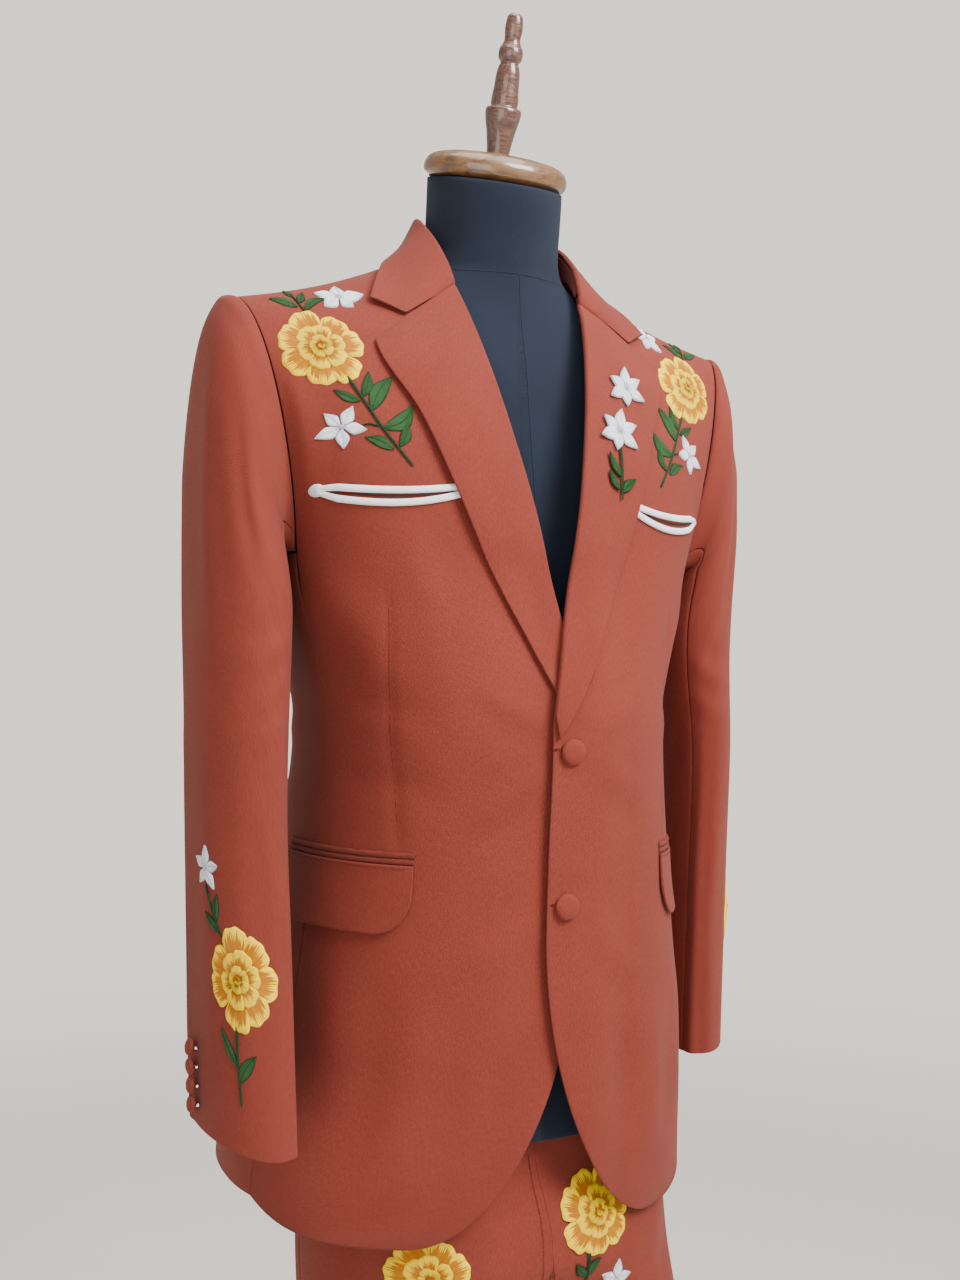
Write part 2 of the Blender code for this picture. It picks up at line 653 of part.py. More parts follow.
def sleeve_point(row, angle, side):
    """Point of the sleeve: row number along its length, ring angle round it."""
    index = np.arange(len(SLEEVE), dtype=float)
    v = read(np.column_stack([index, SLEEVE]), row)
    out_x, out_z, in_x, in_z, depth, twist, share = v
    share = min(max(share, 0.0), 1.0)
    ring = radians(angle)
    length = min(max(-out_z / 0.642, 0.0), 1.0)
    mid_y = -0.004 - SWING[side] * length**SWING_POWER[side]
    out_x -= LEAN[side] * smooth(length / 0.2) * (1 - 0.8 * length)
    if side == "left":    # settle brings the whole sleeve in; below the armhole it comes out again
        out_x += NARROW * smooth((length - 0.06) / 0.20) - HEAD_IN * smooth((0.150 - length) / 0.060)
        in_x += NARROW * smooth((length - 0.30) / 0.30)
    arm_x = (out_x + in_x) / 2 + (out_x - in_x) / 2 * cos(ring)
    arm_z = (out_z + in_z) / 2 + (out_z - in_z) / 2 * cos(ring)
    arm_z -= CUFF_SLANT * depth * sin(radians(angle - CUFF_SLANT_TURN)) * smooth((row - 8) / 5)
    dx, dy = arm_x - (out_x + in_x) / 2, -depth * sin(ring)
    turn = radians(twist)
    x = (out_x + in_x) / 2 + dx * cos(turn) + dy * sin(turn)
    y = mid_y - dx * sin(turn) + dy * cos(turn)
    free = np.array([x, y, arm_z])
    seam = armhole(angle % 360) + (2 * SEAM, 0, 0)
    if ARM_FRONT <= angle % 360 <= ARM_BACK:
        seam = seam + (0, 0, 4 * SEAM)
    return mix(free, seam, share)


def sleeve_out(row, angle, side, out):
    def surface(a, b):
        return sleeve_point(min(max(a, 0.0), len(SLEEVE) - 1.0), b, side)
    n = normal_of(surface, row, angle, 0.15, 3.0)
    if row == 0:
        n = n * (0, 1, 1) / np.linalg.norm(n[1:])    # the sewn edge stays square to the armhole
    return sleeve_point(row, angle, side) + n * out


def back_seam_at(row):
    """Ring angle of the back seam, turning forward towards the cuff."""
    return SLEEVE_BACK_SEAM + SLEEVE_TURN * smooth((row - 1) / 11)


def sleeve_columns(part, angles, row):
    """The part's ring angles at a row, stretched to end at the turned back seam."""
    turned = back_seam_at(row) - SLEEVE_BACK_SEAM
    if part == "top_sleeve_":
        span = SLEEVE_FRONT_SEAM + 360 - SLEEVE_BACK_SEAM
        return [SLEEVE_FRONT_SEAM - (SLEEVE_FRONT_SEAM - a) * (span - turned) / span for a in angles]
    span = SLEEVE_BACK_SEAM - SLEEVE_FRONT_SEAM
    return [SLEEVE_FRONT_SEAM + (a - SLEEVE_FRONT_SEAM) * (span + turned) / span for a in angles]


def build_sleeves():
    rows = np.arange(len(SLEEVE))
    gap = 0.34
    # the rings share their angles with the rows and columns round the armhole
    ahead = [ARM_FRONT * k / ARM_ROWS for k in range(ARM_ROWS)]
    under = [mix(ARM_FRONT, ARM_BACK, k / SIDE_COLS) for k in range(SIDE_COLS)]
    behind = [ARM_BACK + (360 - ARM_BACK) * k / ARM_ROWS for k in range(ARM_ROWS)]
    marks = np.array(ahead + under + behind)
    front_seam, back_seam = SLEEVE_FRONT_SEAM, SLEEVE_BACK_SEAM
    low = marks[(marks > front_seam + gap) & (marks < back_seam - gap)]
    over = np.concatenate([marks[marks > back_seam + gap] - 360, marks[marks < front_seam - gap]])
    spans = {
        "top_sleeve_": [back_seam - 360 + gap, *over, front_seam - gap],
        "under_sleeve_": [front_seam + gap, *low, back_seam - gap],
    }
    for side in ("left", "right"):
        for name, angles in spans.items():
            turned = [sleeve_columns(name, angles, r) for r in rows]
            outer = np.array([[sleeve_out(r, a % 360, side, 0.0) for a in turned[r]] for r in rows])
            inner = np.array([[sleeve_out(r, a % 360, side, -CLOTH) for a in turned[r]] for r in rows])
            middle = sleeve_point(6, 0, side) * 0.5 + sleeve_point(6, 180, side) * 0.5
            probe = (0.5 * (outer[6, 3] + outer[6, 4]) - middle) @ (outer[6, 3] - inner[6, 3])
            if probe < 0:
                inner = 2 * outer - inner
            wall(name + side, outer, inner, "cloth", side == "right", worn="sleeve")


# Pockets

def pocket_level(x, side):
    """Centre line of the smile pocket: low in the middle, up at both ends."""
    inner, outer, end_level, dip = POCKET[side]
    share = (x - (inner + outer) / 2) / ((outer - inner) / 2)
    return end_level - dip * (1 - share**2)


def build_chest_piping():
    lip, slit, height = 0.0046, 0.0011, 0.0016
    section = ((0, 0), (0, 1), (1, 1), (1, 0))
    for side in ("left", "right"):
        inner, outer = POCKET[side][:2]
        xs = np.linspace(inner, outer, 13)
        path = [(x, 1) for x in xs] + [(x, -1) for x in xs[::-1]]
        rings = []
        for x, sign in path:
            edge = min((x - inner) / 0.006, (outer - x) / 0.006, 1.0)
            ring = []
            for wide, tall in section:
                off = sign * (slit + wide * lip) * (0.55 + 0.45 * edge)
                shift = 0.0
                if edge == 0.0:
                    shift = (1 if x > 0.13 else -1) * wide * lip * 0.8
                out = PIPING_LIFT + lap_lift(x, side) + tall * height
                ring.append(front_at(x + shift, pocket_level(x, side) + off, out))
            rings.append(ring)
        closed_tube("chest_piping_" + side, rings, "piping", side == "right")


def closed_tube(name, rings, key, mirror=False):
    """Ring-shaped solid through sections that close on themselves."""
    pts = np.concatenate([np.array(r) for r in rings])
    if mirror:
        pts = pts * (-1, 1, 1)
    pts = settle(pts)
    count, n = len(rings), len(rings[0])
    faces = []
    for k in range(count):
        m = (k + 1) % count
        for i in range(n):
            j = (i + 1) % n
            faces.append((k * n + i, k * n + j, m * n + j, m * n + i))
    return add_object(name, pts, faces, key)


def flap_low(turn):
    """Lower edge of the hip flap, rounded at its front and a little at its back."""
    radius = 0.165
    ahead = radians(turn - FLAP_TURN_IN) * radius
    behind = radians(FLAP_TURN_OUT - turn) * radius
    rise = 0.0
    if ahead < FLAP_CORNER:
        rise = FLAP_CORNER - sqrt(FLAP_CORNER**2 - (FLAP_CORNER - ahead)**2)
    if behind < FLAP_CORNER / 2:
        r = FLAP_CORNER / 2
        rise = r - sqrt(r**2 - (r - behind)**2)
    return FLAP_LOW + rise


def build_hip_pockets():
    turns = FLAP_TURN_IN + (FLAP_TURN_OUT - FLAP_TURN_IN) * np.linspace(0, 1, 15)**1.25
    for side in ("left", "right"):
        outer, inner = [], []
        for w in np.linspace(0, 1, 5):
            levels = [mix(JET_LOW - SEAM, flap_low(t), w) for t in turns]
            inner.append([body_out(t, z, PIPING_LIFT) for t, z in zip(turns, levels)])
            outer.append([body_out(t, z, PIPING_LIFT + FOLDED) for t, z in zip(turns, levels)])
        wall("hip_flap_" + side, outer, inner, "cloth", side == "right")
        outer, inner = [], []
        for w, out in ((0.0, 0.0012), (0.25, 0.0021), (0.46, 0.0014), (0.54, 0.0014), (0.75, 0.0021), (1.0, 0.0012)):
            level = mix(JET_LOW, JET_TOP, w)
            inner.append([body_out(t, level, PIPING_LIFT) for t in turns])
            outer.append([body_out(t, level, PIPING_LIFT + out) for t in turns])
        wall("hip_jet_" + side, outer, inner, "cloth", side == "right")


# Buttons

def button(name, centre, normal, radius, height, count=14):
    """Covered button: a flat foot and a domed face."""
    normal = normal / np.linalg.norm(normal)
    across = np.cross(normal, (0, 0, 1))
    across /= np.linalg.norm(across)
    up = np.cross(across, normal)
    rings = []
    profile = ((0.62, 0.0), (1.0, 0.30), (1.0, 0.52), (0.80, 0.86), (0.40, 1.0))
    for share, rise in profile:
        ring = []
        for k in range(count):
            a = 2 * pi * k / count
            ring.append(centre + (across * cos(a) + up * sin(a)) * radius * share + normal * height * rise)
        rings.append(ring)
    return loft(name, rings, "cloth")


def build_buttons():
    for k, level in enumerate(BUTTON_LEVELS):
        seat = front_at(0.0, level, LAP + SEAM)
        normal = front_at(0.0, level, LAP + 0.01) - front_at(0.0, level, LAP)
        button("front_button_%d" % (k + 1), seat, normal, BUTTON_R, BUTTON_T)
    for side in ("left", "right"):
        rows = np.linspace(9, len(SLEEVE) - 1, 120)
        heights = np.array([sleeve_point(r, back_seam_at(r) + CUFF_BUTTON_TURN, side)[2] for r in rows])
        for k in range(CUFF_BUTTONS):
            level = heights[-1] + CUFF_BUTTON_RISE + CUFF_BUTTON_STEP * k
            row = np.interp(-level, -heights, rows)
            angle = back_seam_at(row) + CUFF_BUTTON_TURN
            seat = sleeve_point(row, angle, side)
            probe = sleeve_out(row, angle, side, 0.01) - seat
            middle = sleeve_point(row, 0, side) * 0.5 + sleeve_point(row, 180, side) * 0.5
            if probe @ (seat - middle) < 0:
                probe = -probe
            probe /= np.linalg.norm(probe)
            seat = seat + probe * (SEAM + 0.0003)
            if side == "right":
                seat, probe = seat * (-1, 1, 1), probe * (-1, 1, 1)
            seat = settle(seat, "sleeve")
            button("cuff_button_%s_%d" % (side, k + 1), seat, probe, CUFF_BUTTON_R, CUFF_BUTTON_T, 10)


# Trousers

def trouser(around, level):
    """Surface of one trouser leg: around runs 0 outseam, 1 front or back centre.

    Negative values run round the back. Above the fork the piece ends at the
    centre seam, below it at the inseam.
    """
    share = abs(around)
    fore = around >= 0
    half, front, back = read(HIP, level)
    turn = 90 - 90 * share if fore else 90 + 90 * share
    hx, hy = oval(turn, half, front, back, 2.3, -0.004)
    cx, cy, wide, deep = read(LEG, level)
    a = pi * share
    lx = cx + wide * cos(a)
    ly = cy - deep * sin(a)**0.9 * (1 if fore else -1)
    m = smooth((FORK + FORK_BLEND - level) / FORK_BLEND)
    x, y = mix([hx, hy], [lx, ly], m)
    return np.array([x, y, level])


def trouser_out(around, level, out):
    du = trouser(around, level) - trouser(around - 0.02 * np.sign(around or 1), level)
    dv = trouser(around, level + 0.004) - trouser(around, level - 0.004)
    n = np.cross(du, dv)
    n /= np.linalg.norm(n)
    centre = read(LEG, level)
    away = trouser(around, level) - (centre[0], centre[1], level)
    if n @ away < 0:
        n = -n
    return trouser(around, level) + n * out


def build_trousers():
    levels = [BAND_LOW - SEAM, -0.690, -0.740, -0.790, -0.820, -0.845, FORK, -0.905, -0.980,
              -1.080, -1.200, -1.350, -1.500, TROUSER_HEM]
    shares = np.linspace(0.0008, 1.0, 10)
    for side in ("left", "right"):
        for name, sign in (("trouser_front_", 1), ("trouser_back_", -1)):
            outer, inner = [], []
            for level in levels:
                spots = [sign * s for s in shares]
                outer.append([trouser_out(s, level, 0.0) for s in spots])
                inner.append([trouser_out(s, level, -CLOTH) for s in spots])
            outer, inner = np.array(outer), np.array(inner)
            aside = [HANG * smooth((RIM - z) / 0.08) for z in levels]
            for grid in (outer, inner):
                grid[:, :, 0] = np.maximum(grid[:, :, 0], SEAM / 2)
                grid[:, :, 0] += np.array(aside)[:, None] * (1 if side == "left" else -1)
                centre = np.array([read(LEG, z)[1] for z in levels])[:, None]
                edge = grid[:, :, 1] - centre
                low = np.array(levels)[:, None] < FORK + FORK_BLEND * 0.3
                if sign > 0:
                    edge = np.where(low, np.minimum(edge, -SEAM / 2), edge)
                else:
                    edge = np.where(low, np.maximum(edge, SEAM / 2), edge)
                grid[:, :, 1] = edge + centre
            wall(name + side, outer, inner, "cloth", side == "right", worn=None)
    band_turns = np.array([-179.0] + list(range(-170, 180, 10)) + [179.0])
    outer, inner = [], []
    for level in (BAND_LOW, (BAND_LOW + BAND_TOP) / 2, BAND_TOP):
        half, front, back = read(HIP, level)
        for grid, off in ((outer, 0.0), (inner, -FOLDED)):
            ring = []
            for turn in band_turns:
                x, y = oval(turn, half + off, front - off, back + off, 2.3, -0.004)
                ring.append((x, y, level))
            grid.append(ring)
    wall("waistband", outer, inner, "cloth", worn=None)


# Form and stand

def form_ring(level, half, front, back, power, count=32):
    tilt = tan(NECK_TILT) * smooth((level - 0.060) / 0.060)
    mid = (front + back) / 2 + 0.006
    ring = []
    for k in range(count):
        x, y = oval(360 * k / count, half, front, back, power, mid)
        ring.append((x, y, level + tilt * (y - mid)))
    return ring


def build_form():
    rings = [form_ring(*row) for row in FORM]
    lip = FORM[0]
    inset = (lip[1] - RIM_WALL, lip[2] + RIM_WALL, lip[3] - RIM_WALL, lip[4])
    rings = [form_ring(RECESS_TOP, *inset), form_ring(RIM, *inset)] + rings
    loft("form_body", rings, "jersey")


def tilted(radius, height, a, base, squash=1.0):
    """Point round the neck's tilted axis."""
    axis = np.array([0, -sin(NECK_TILT), cos(NECK_TILT)])
    fore = np.array([0, -cos(NECK_TILT), -sin(NECK_TILT)])
    return base + axis * height + np.array([1, 0, 0]) * radius * sin(a) + fore * radius * squash * cos(a)


def build_cap_and_finial():
    top = FORM[-1]
    seat = np.array([0, (top[2] + top[3]) / 2 + 0.006, top[0]]) + (0, 0, SEAM)
    cap = [[tilted(r, h, 2 * pi * k / 28, seat, 0.86) for k in range(28)] for r, h in CAP]
    loft("neck_cap", cap, "honey_wood")
    foot = tilted(0, CAP[-1][1] + SEAM, 0, seat)
    turned = [[tilted(r, h, 2 * pi * k / 14, foot) for k in range(14)] for r, h in FINIAL]
    loft("finial", turned, "turned_wood")


def build_stand():
    block = []
    room = FOLDED + SEAM
    for level in (-0.660, BAND_LOW, (BAND_LOW + BAND_TOP) / 2, BAND_TOP, RECESS_TOP - SEAM):
        half, front, back = read(HIP, level)
        ring = []
        for turn in range(0, 360, 10):
            x, y = oval(turn, half - room, front + room, back - room, 2.3, -0.004)
            ring.append((x, y, level))
        block.append(ring)
    loft("hip_block", block, "steel")
    for side, sign in (("left", 1), ("right", -1)):
        rings = []
        for level in (BASE_T + SEAM - SHOULDER, -1.2, -0.660 - SEAM):
            rings.append([(sign * POST_X + POST_R * sin(2 * pi * k / 12), POST_R * cos(2 * pi * k / 12), level)
                          for k in range(12)])
        loft("post_" + side, rings, "steel")
    rings = []
    for level, inset in ((0.0, 0.004), (0.003, 0.0), (BASE_T - 0.004, 0.0), (BASE_T, 0.004)):
        ring = []
        for k in range(32):
            x, y = oval(360 * k / 32, BASE_A - inset, -BASE_B + inset, BASE_B - inset, 2.6, 0.0)
            ring.append((x, y, level - SHOULDER))
        rings.append(ring)
    loft("base", rings, "steel")


def main():
    clear_scene()
    build_fronts()
    build_sides_and_backs()
    build_lapels()
    build_collar()
    build_sleeves()
    build_chest_piping()
    build_hip_pockets()
    build_buttons()
    build_trousers()
    build_form()
    build_cap_and_finial()
    build_stand()


main()
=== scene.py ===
"""Looks of the western suit on its dress form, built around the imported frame.

Metres, +Z up; the wearer's front faces -Y and the wearer's left is +X.
Levels are read from the shoulder point, as a tailor measures a jacket.
"""
from math import cos, pi, radians, sin, sqrt, tan

import bpy
import numpy as np
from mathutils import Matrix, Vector


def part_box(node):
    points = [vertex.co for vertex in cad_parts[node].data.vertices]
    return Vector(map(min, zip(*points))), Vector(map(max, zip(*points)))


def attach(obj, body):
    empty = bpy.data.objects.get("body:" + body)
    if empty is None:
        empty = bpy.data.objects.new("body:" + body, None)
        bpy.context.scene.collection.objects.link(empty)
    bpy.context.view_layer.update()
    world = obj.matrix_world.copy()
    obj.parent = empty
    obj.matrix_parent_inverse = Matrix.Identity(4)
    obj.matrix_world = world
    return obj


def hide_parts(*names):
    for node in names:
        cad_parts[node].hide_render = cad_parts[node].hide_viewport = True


bl_info = {
    "name": "Western suit on a dress form",
    "version": (1, 0, 0),
    "blender": (4, 5, 0),
    "location": "3D Viewport > Sidebar > Suit",
    "description": "Dresses the packed suit, its embroidery and its form in cloth, thread and wood",
    "category": "Object",
}

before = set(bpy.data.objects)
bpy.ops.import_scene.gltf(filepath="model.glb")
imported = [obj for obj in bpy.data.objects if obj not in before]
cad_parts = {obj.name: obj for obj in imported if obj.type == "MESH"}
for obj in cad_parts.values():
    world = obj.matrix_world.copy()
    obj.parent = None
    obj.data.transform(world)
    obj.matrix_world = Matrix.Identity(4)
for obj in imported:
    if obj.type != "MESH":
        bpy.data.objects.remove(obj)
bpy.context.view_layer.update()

SIDES, FORE = ("left", "right"), (0, -1, 0)
# Cut of the suit, as in the solids
SHOULDER = 1.730
SEAM = 0.0003
OVERLAP, LAP = 0.016, 0.0068
LAPEL_LIFT, LAPEL_BELLY = 0.0013, 0.0022
BREAK = -0.335
GORGE = np.array([0.061, 0.020])
NOTCH = np.array([0.106, -0.013])
LAPEL_TIP = np.array([0.135, -0.037])
CUTAWAY_TOP, HEM_FRONT, HEM_SIDE = -0.500, -0.738, -0.712
HEM_LOW_X, CUTAWAY_POWER = 0.108, 1.85
CHEST = -0.205
FRONT_SEAM, BACK_SEAM = 75.0, 112.0
SIDE_Y = 0.008
BUTTON_LEVELS = (-0.357, -0.477)
CUFF_BUTTONS, CUFF_BUTTON_RISE, CUFF_BUTTON_STEP = 4, 0.0162, 0.0133
# Chest pocket of each side: its ends from the centre, the level of its ends, its dip
POCKET = {"left": (0.0885, 0.1750, -0.1630, 0.0085), "right": (0.0905, 0.1820, -0.1585, 0.0060)}
JET_TOP, JET_LOW = -0.4360, -0.4455
FLAP_LOW, FLAP_TURN_IN, FLAP_TURN_OUT, FLAP_CORNER, FLAP_RADIUS = -0.4990, 38.5, 88.0, 0.028, 0.165
BAND_TOP, BAND_LOW = -0.600, -0.640
FORK, FORK_BLEND, TROUSER_HEM, HANG = -0.870, 0.105, -1.655, 0.008
RIM, RECESS_TOP, RECESS_WALL, NECKLINE, FORM_GIRTH, FORM_SET = -0.668, -0.588, 0.011, 0.0385, 0.9, 0.006
NECK_TILT = radians(15.0)
NECK = np.array([0.074, -0.004, 0.0565])
TIP = np.array([0.233, -0.012, 0.000])
NAPE = np.array([0.000, 0.060, 0.066])
SHOULDER_DIP, NECK_SHARE = 0.0065, 0.34

# Body sections of the jacket: level, half width, front, back, squareness
BODY = np.array([
    [-0.765, 0.1985, -0.1430, 0.2080, 2.2],
    [-0.573, 0.1850, -0.1540, 0.1580, 2.3],
    [-0.449, 0.1700, -0.1560, 0.1320, 2.3],
    [-0.330, 0.1615, -0.1600, 0.1240, 2.3],
    [-0.205, 0.1900, -0.1350, 0.1300, 2.6],
])
# Outer edge of the lapel: level, distance from the centre line
LAPEL_EDGE = np.array([
    [-0.348, -0.0120],
    [-0.310, 0.0120],
    [-0.261, 0.0360],
    [-0.213, 0.0600],
    [-0.162, 0.0825],
    [-0.098, 0.1080],
    [-0.037, 0.1350],
])
# Half collar from nape to gorge: share, fold x, y, level, then outer edge x, y, level
COLLAR = np.array([
    [0.00, 0.0000, 0.0560, 0.0980, 0.0000, 0.0780, 0.0580],
    [0.20, 0.0330, 0.0480, 0.0975, 0.0390, 0.0690, 0.0600],
    [0.40, 0.0600, 0.0220, 0.0950, 0.0680, 0.0400, 0.0550],
    [0.55, 0.0695, -0.0060, 0.0870, 0.0860, 0.0080, 0.0515],
    [0.70, 0.0700, -0.0330, 0.0680, 0.1045, -0.0170, 0.0440],
    [0.85, 0.0665, -0.0570, 0.0450, 0.1200, -0.0400, 0.0250],
    [1.00, 0.0610, -0.0745, 0.0235, 0.1330, -0.0590, 0.0015],
])
COLLAR_BOW, STAND_END, NECK_END, GORGE_SHARE = 0.0015, 0.86, 0.56, 0.62
# Sleeve rings: number, outer x, outer level, inner x, inner level, half depth, twist, armhole share
SLEEVE = np.array([
    [0, 0.2330, 0.000, 0.1900, -0.2045, 0.0700, 0.0, 1.00],
    [1, 0.2610, -0.007, 0.1960, -0.2044, 0.0710, 0.0, 0.82],
    [2, 0.2610, -0.015, 0.2015, -0.2065, 0.0720, 0.0, 0.55],
    [3, 0.2625, -0.037, 0.2040, -0.2120, 0.0725, 1.0, 0.28],
    [4, 0.2635, -0.080, 0.2040, -0.2210, 0.0720, 2.0, 0.10],
    [5, 0.2630, -0.135, 0.1990, -0.2370, 0.0710, 3.0, 0.00],
    [6, 0.2640, -0.190, 0.1940, -0.2600, 0.0690, 4.0, 0.00],
    [7, 0.2645, -0.250, 0.1930, -0.2950, 0.0670, 5.0, 0.00],
    [8, 0.2650, -0.320, 0.1950, -0.3450, 0.0650, 6.0, 0.00],
    [9, 0.2655, -0.390, 0.1980, -0.4030, 0.0635, 7.0, 0.00],
    [10, 0.2655, -0.460, 0.1990, -0.4660, 0.0625, 8.0, 0.00],
    [11, 0.2655, -0.530, 0.2000, -0.5320, 0.0620, 9.0, 0.00],
    [12, 0.2655, -0.590, 0.2010, -0.5900, 0.0615, 10.0, 0.00],
    [13, 0.2650, -0.640, 0.2015, -0.6380, 0.0615, 10.0, 0.00],
])
SLEEVE_LENGTH = 0.642
SWING = {"left": -0.030, "right": 0.086}
SWING_POWER = {"left": 0.5, "right": 1.4}
LEAN = {"left": 0.009, "right": 0.0}
SLEEVE_FRONT_SEAM, SLEEVE_BACK_SEAM = 128.0, 262.0
SLEEVE_TURN, CUFF_BUTTON_TURN = 74.0, 18.0
CUFF_SLANT, CUFF_SLANT_TURN = 0.155, 25.0
# How the worn jacket departs from an even one: left side in, left collar in and down, right skirt out
NARROW, NARROW_DROP, NARROW_FROM, NARROW_OVER = 0.009, 0.45, -0.270, 0.100
COLLAR_IN, COLLAR_LOW, HEAD_IN = 0.0015, 0.005, 0.006
FLARE, FLARE_FROM, FLARE_OVER = 0.021, -0.600, 0.095
ARM_FRONT, ARM_BACK, ARM_RADIUS, SLEEVE_Y = 138.0, 216.0, 0.055, -0.004
HIP_Y, HIP_SQUARE = -0.004, 2.3
# Half a seam's gap in degrees, round the body and round a sleeve; where a back begins at the centre
BODY_GAP, SLEEVE_GAP, CENTRE_BACK = 0.05, 0.1, 179.93
# Chest dart: level of its lower end, height, and distance from the centre line at both ends
DART_LOW, DART_RISE, DART_LOW_X, DART_HIGH_X = -0.437, 0.216, 0.122, 0.134
# Levels of the dart's dark line, painted shade along its seam groove, and of the fly's line of stitches
DART_SHADE_LINE, FLY_STITCHES = (-0.232, -0.435), (-0.680, -0.850)
# Rows of a jacket panel from hem to chest, closer together at the hem, and from chest to shoulder
LOW_ROWS = np.linspace(0, 1, 92)[:, None]**1.35
HIGH_ROWS = np.linspace(0, 0.9992, 46)[1:, None]
# Wall and edge rounding of a turned piece, and the radius of its roll
TURNED_WALL, TURNED_EDGE, ROLL_RADIUS = 0.0016, 0.5, 0.0026
# Lower and upper edge of each hip welt
WELTS = ((JET_LOW + 0.0002, -0.4409), (-0.4405, JET_TOP))
# Dents over each front button: x, level over the button, width, height, rise
BUTTON_DENTS = (
    (0.006, 0.0155, 0.008, 0.0055, -0.0016),
    (0.004, 0.0290, 0.016, 0.0090, 0.0009),
    (0.020, -0.0020, 0.012, 0.0080, 0.0007),
)
# Trouser hip sections: level, half width, front, back
HIP = np.array([
    [-0.870, 0.1640, -0.1400, 0.0720],
    [-0.800, 0.1650, -0.1410, 0.0740],
    [-0.740, 0.1630, -0.1350, 0.0800],
    [-0.690, 0.1545, -0.1190, 0.0870],
    [-0.640, 0.1490, -0.1150, 0.0890],
    [-0.600, 0.1460, -0.1110, 0.0920],
])
# Trouser leg sections: level, centre x, centre y, half width, half depth
LEG = np.array([
    [-1.655, 0.0870, -0.0120, 0.0560, 0.0800],
    [-1.450, 0.0870, -0.0140, 0.0590, 0.0790],
    [-1.200, 0.0870, -0.0190, 0.0660, 0.0820],
    [-1.000, 0.0860, -0.0270, 0.0745, 0.0930],
    [-0.870, 0.0850, -0.0330, 0.0790, 0.1060],
    [-0.700, 0.0850, -0.0330, 0.0790, 0.1060],
])
# Form sections: level, half width, front, back, squareness
FORM = np.array([
    [-0.668, 0.1660, -0.1320, 0.1150, 2.2],
    [-0.560, 0.1600, -0.1310, 0.1130, 2.2],
    [-0.449, 0.1480, -0.1240, 0.1080, 2.2],
    [-0.330, 0.1400, -0.1170, 0.1020, 2.2],
    [-0.205, 0.1640, -0.1060, 0.1080, 2.3],
    [-0.100, 0.1740, -0.0890, 0.0880, 2.2],
    [-0.040, 0.1760, -0.0780, 0.0700, 2.0],
    [-0.005, 0.1660, -0.0690, 0.0500, 1.7],
    [0.0125, 0.1380, -0.0660, 0.0430, 1.5],
    [0.0280, 0.0980, -0.0640, 0.0410, 1.6],
    [0.0430, 0.0700, -0.0630, 0.0410, 1.8],
    [0.0560, 0.0610, -0.0635, 0.0410, 2.0],
    [0.0700, 0.0600, -0.0645, 0.0410, 2.0],
    [0.0950, 0.0600, -0.0670, 0.0400, 2.0],
    [0.1280, 0.0600, -0.0700, 0.0390, 2.0],
])
# Neck cap and finial outlines: radius, height along the tilted axis
CAP = (
    (0.054, 0.0), (0.060, 0.0012), (0.0638, 0.004), (0.0652, 0.009), (0.0643, 0.0145), (0.0605, 0.0190),
    (0.054, 0.0222), (0.044, 0.0242), (0.030, 0.0250),
)
FINIAL = (
    (0.0098, 0.0), (0.0102, 0.004), (0.0128, 0.020), (0.0158, 0.0345), (0.0160, 0.037), (0.0152, 0.0395),
    (0.0120, 0.041), (0.0122, 0.045), (0.0112, 0.056), (0.0092, 0.074), (0.0080, 0.077), (0.0098, 0.0795),
    (0.0108, 0.0835), (0.0104, 0.088), (0.0082, 0.092), (0.0072, 0.095), (0.0078, 0.104), (0.0074, 0.111),
    (0.0062, 0.1155), (0.0040, 0.1175),
)

# Soft creases of the cloth in millimetres: from x, level, to x, level, width, height
FRONT_CREASES = {
    "right": (
        (203, -60, 186, -185, 10, 1.6), (184, -205, 118, -330, 13, 1.4),
        (168, -330, 100, -352, 9.5, 1.1), (166, -372, 85, -398, 11, -0.9),
        (12, -342, 78, -305, 8.5, 1.2), (14, -372, 92, -418, 10, 1),
        (16, -488, 82, -530, 11, 0.9), (112, -545, 126, -715, 19, 2),
        (46, -590, 60, -700, 17, -1.4), (158, -520, 168, -690, 15, 1.6),
        (120, -185, 96, -262, 12, 0.9),
    ),
    "left": (
        (200, -70, 187, -190, 10, 1.4), (182, -215, 126, -310, 12, 1.2),
        (164, -345, 108, -334, 9.5, 1), (22, -345, 70, -318, 8, 1),
        (24, -368, 100, -402, 11, 1.1), (24, -490, 90, -548, 12, 1.1),
        (98, -560, 112, -710, 18, 1.6), (60, -575, 78, -690, 16, -1.2),
        (150, -540, 161, -700, 14, 1.4),
    ),
}
SIDE_CREASES = {
    "right": (
        (176, -235, 160, -330, 10, 1.2), (150, -355, 172, -340, 9, 1),
        (152, -395, 176, -420, 10, 0.9), (180, -520, 188, -700, 16, 1.8),
    ),
    "left": (
        (178, -245, 162, -318, 10, 1.1), (148, -362, 170, -350, 9.5, 1.1),
        (182, -540, 186, -700, 15, 1.6),
    ),
}
BACK_CREASES = {
    "right": (
        (172, -80, 150, -190, 12, 1.8), (150, -210, 70, -330, 14, 1.4),
        (145, -335, 60, -362, 11, 1.3), (140, -385, 40, -410, 12, -1),
        (30, -45, 95, -95, 12, 1), (90, -480, 115, -700, 19, 2.2),
        (35, -520, 45, -705, 18, -1.6),
    ),
    "left": (
        (170, -95, 154, -195, 12, 1.6), (148, -225, 82, -322, 13, 1.3),
        (142, -350, 50, -348, 11, 1.2), (136, -402, 50, -428, 12, -1),
        (80, -500, 98, -700, 20, 2), (120, -560, 138, -705, 16, 1.4),
    ),
}
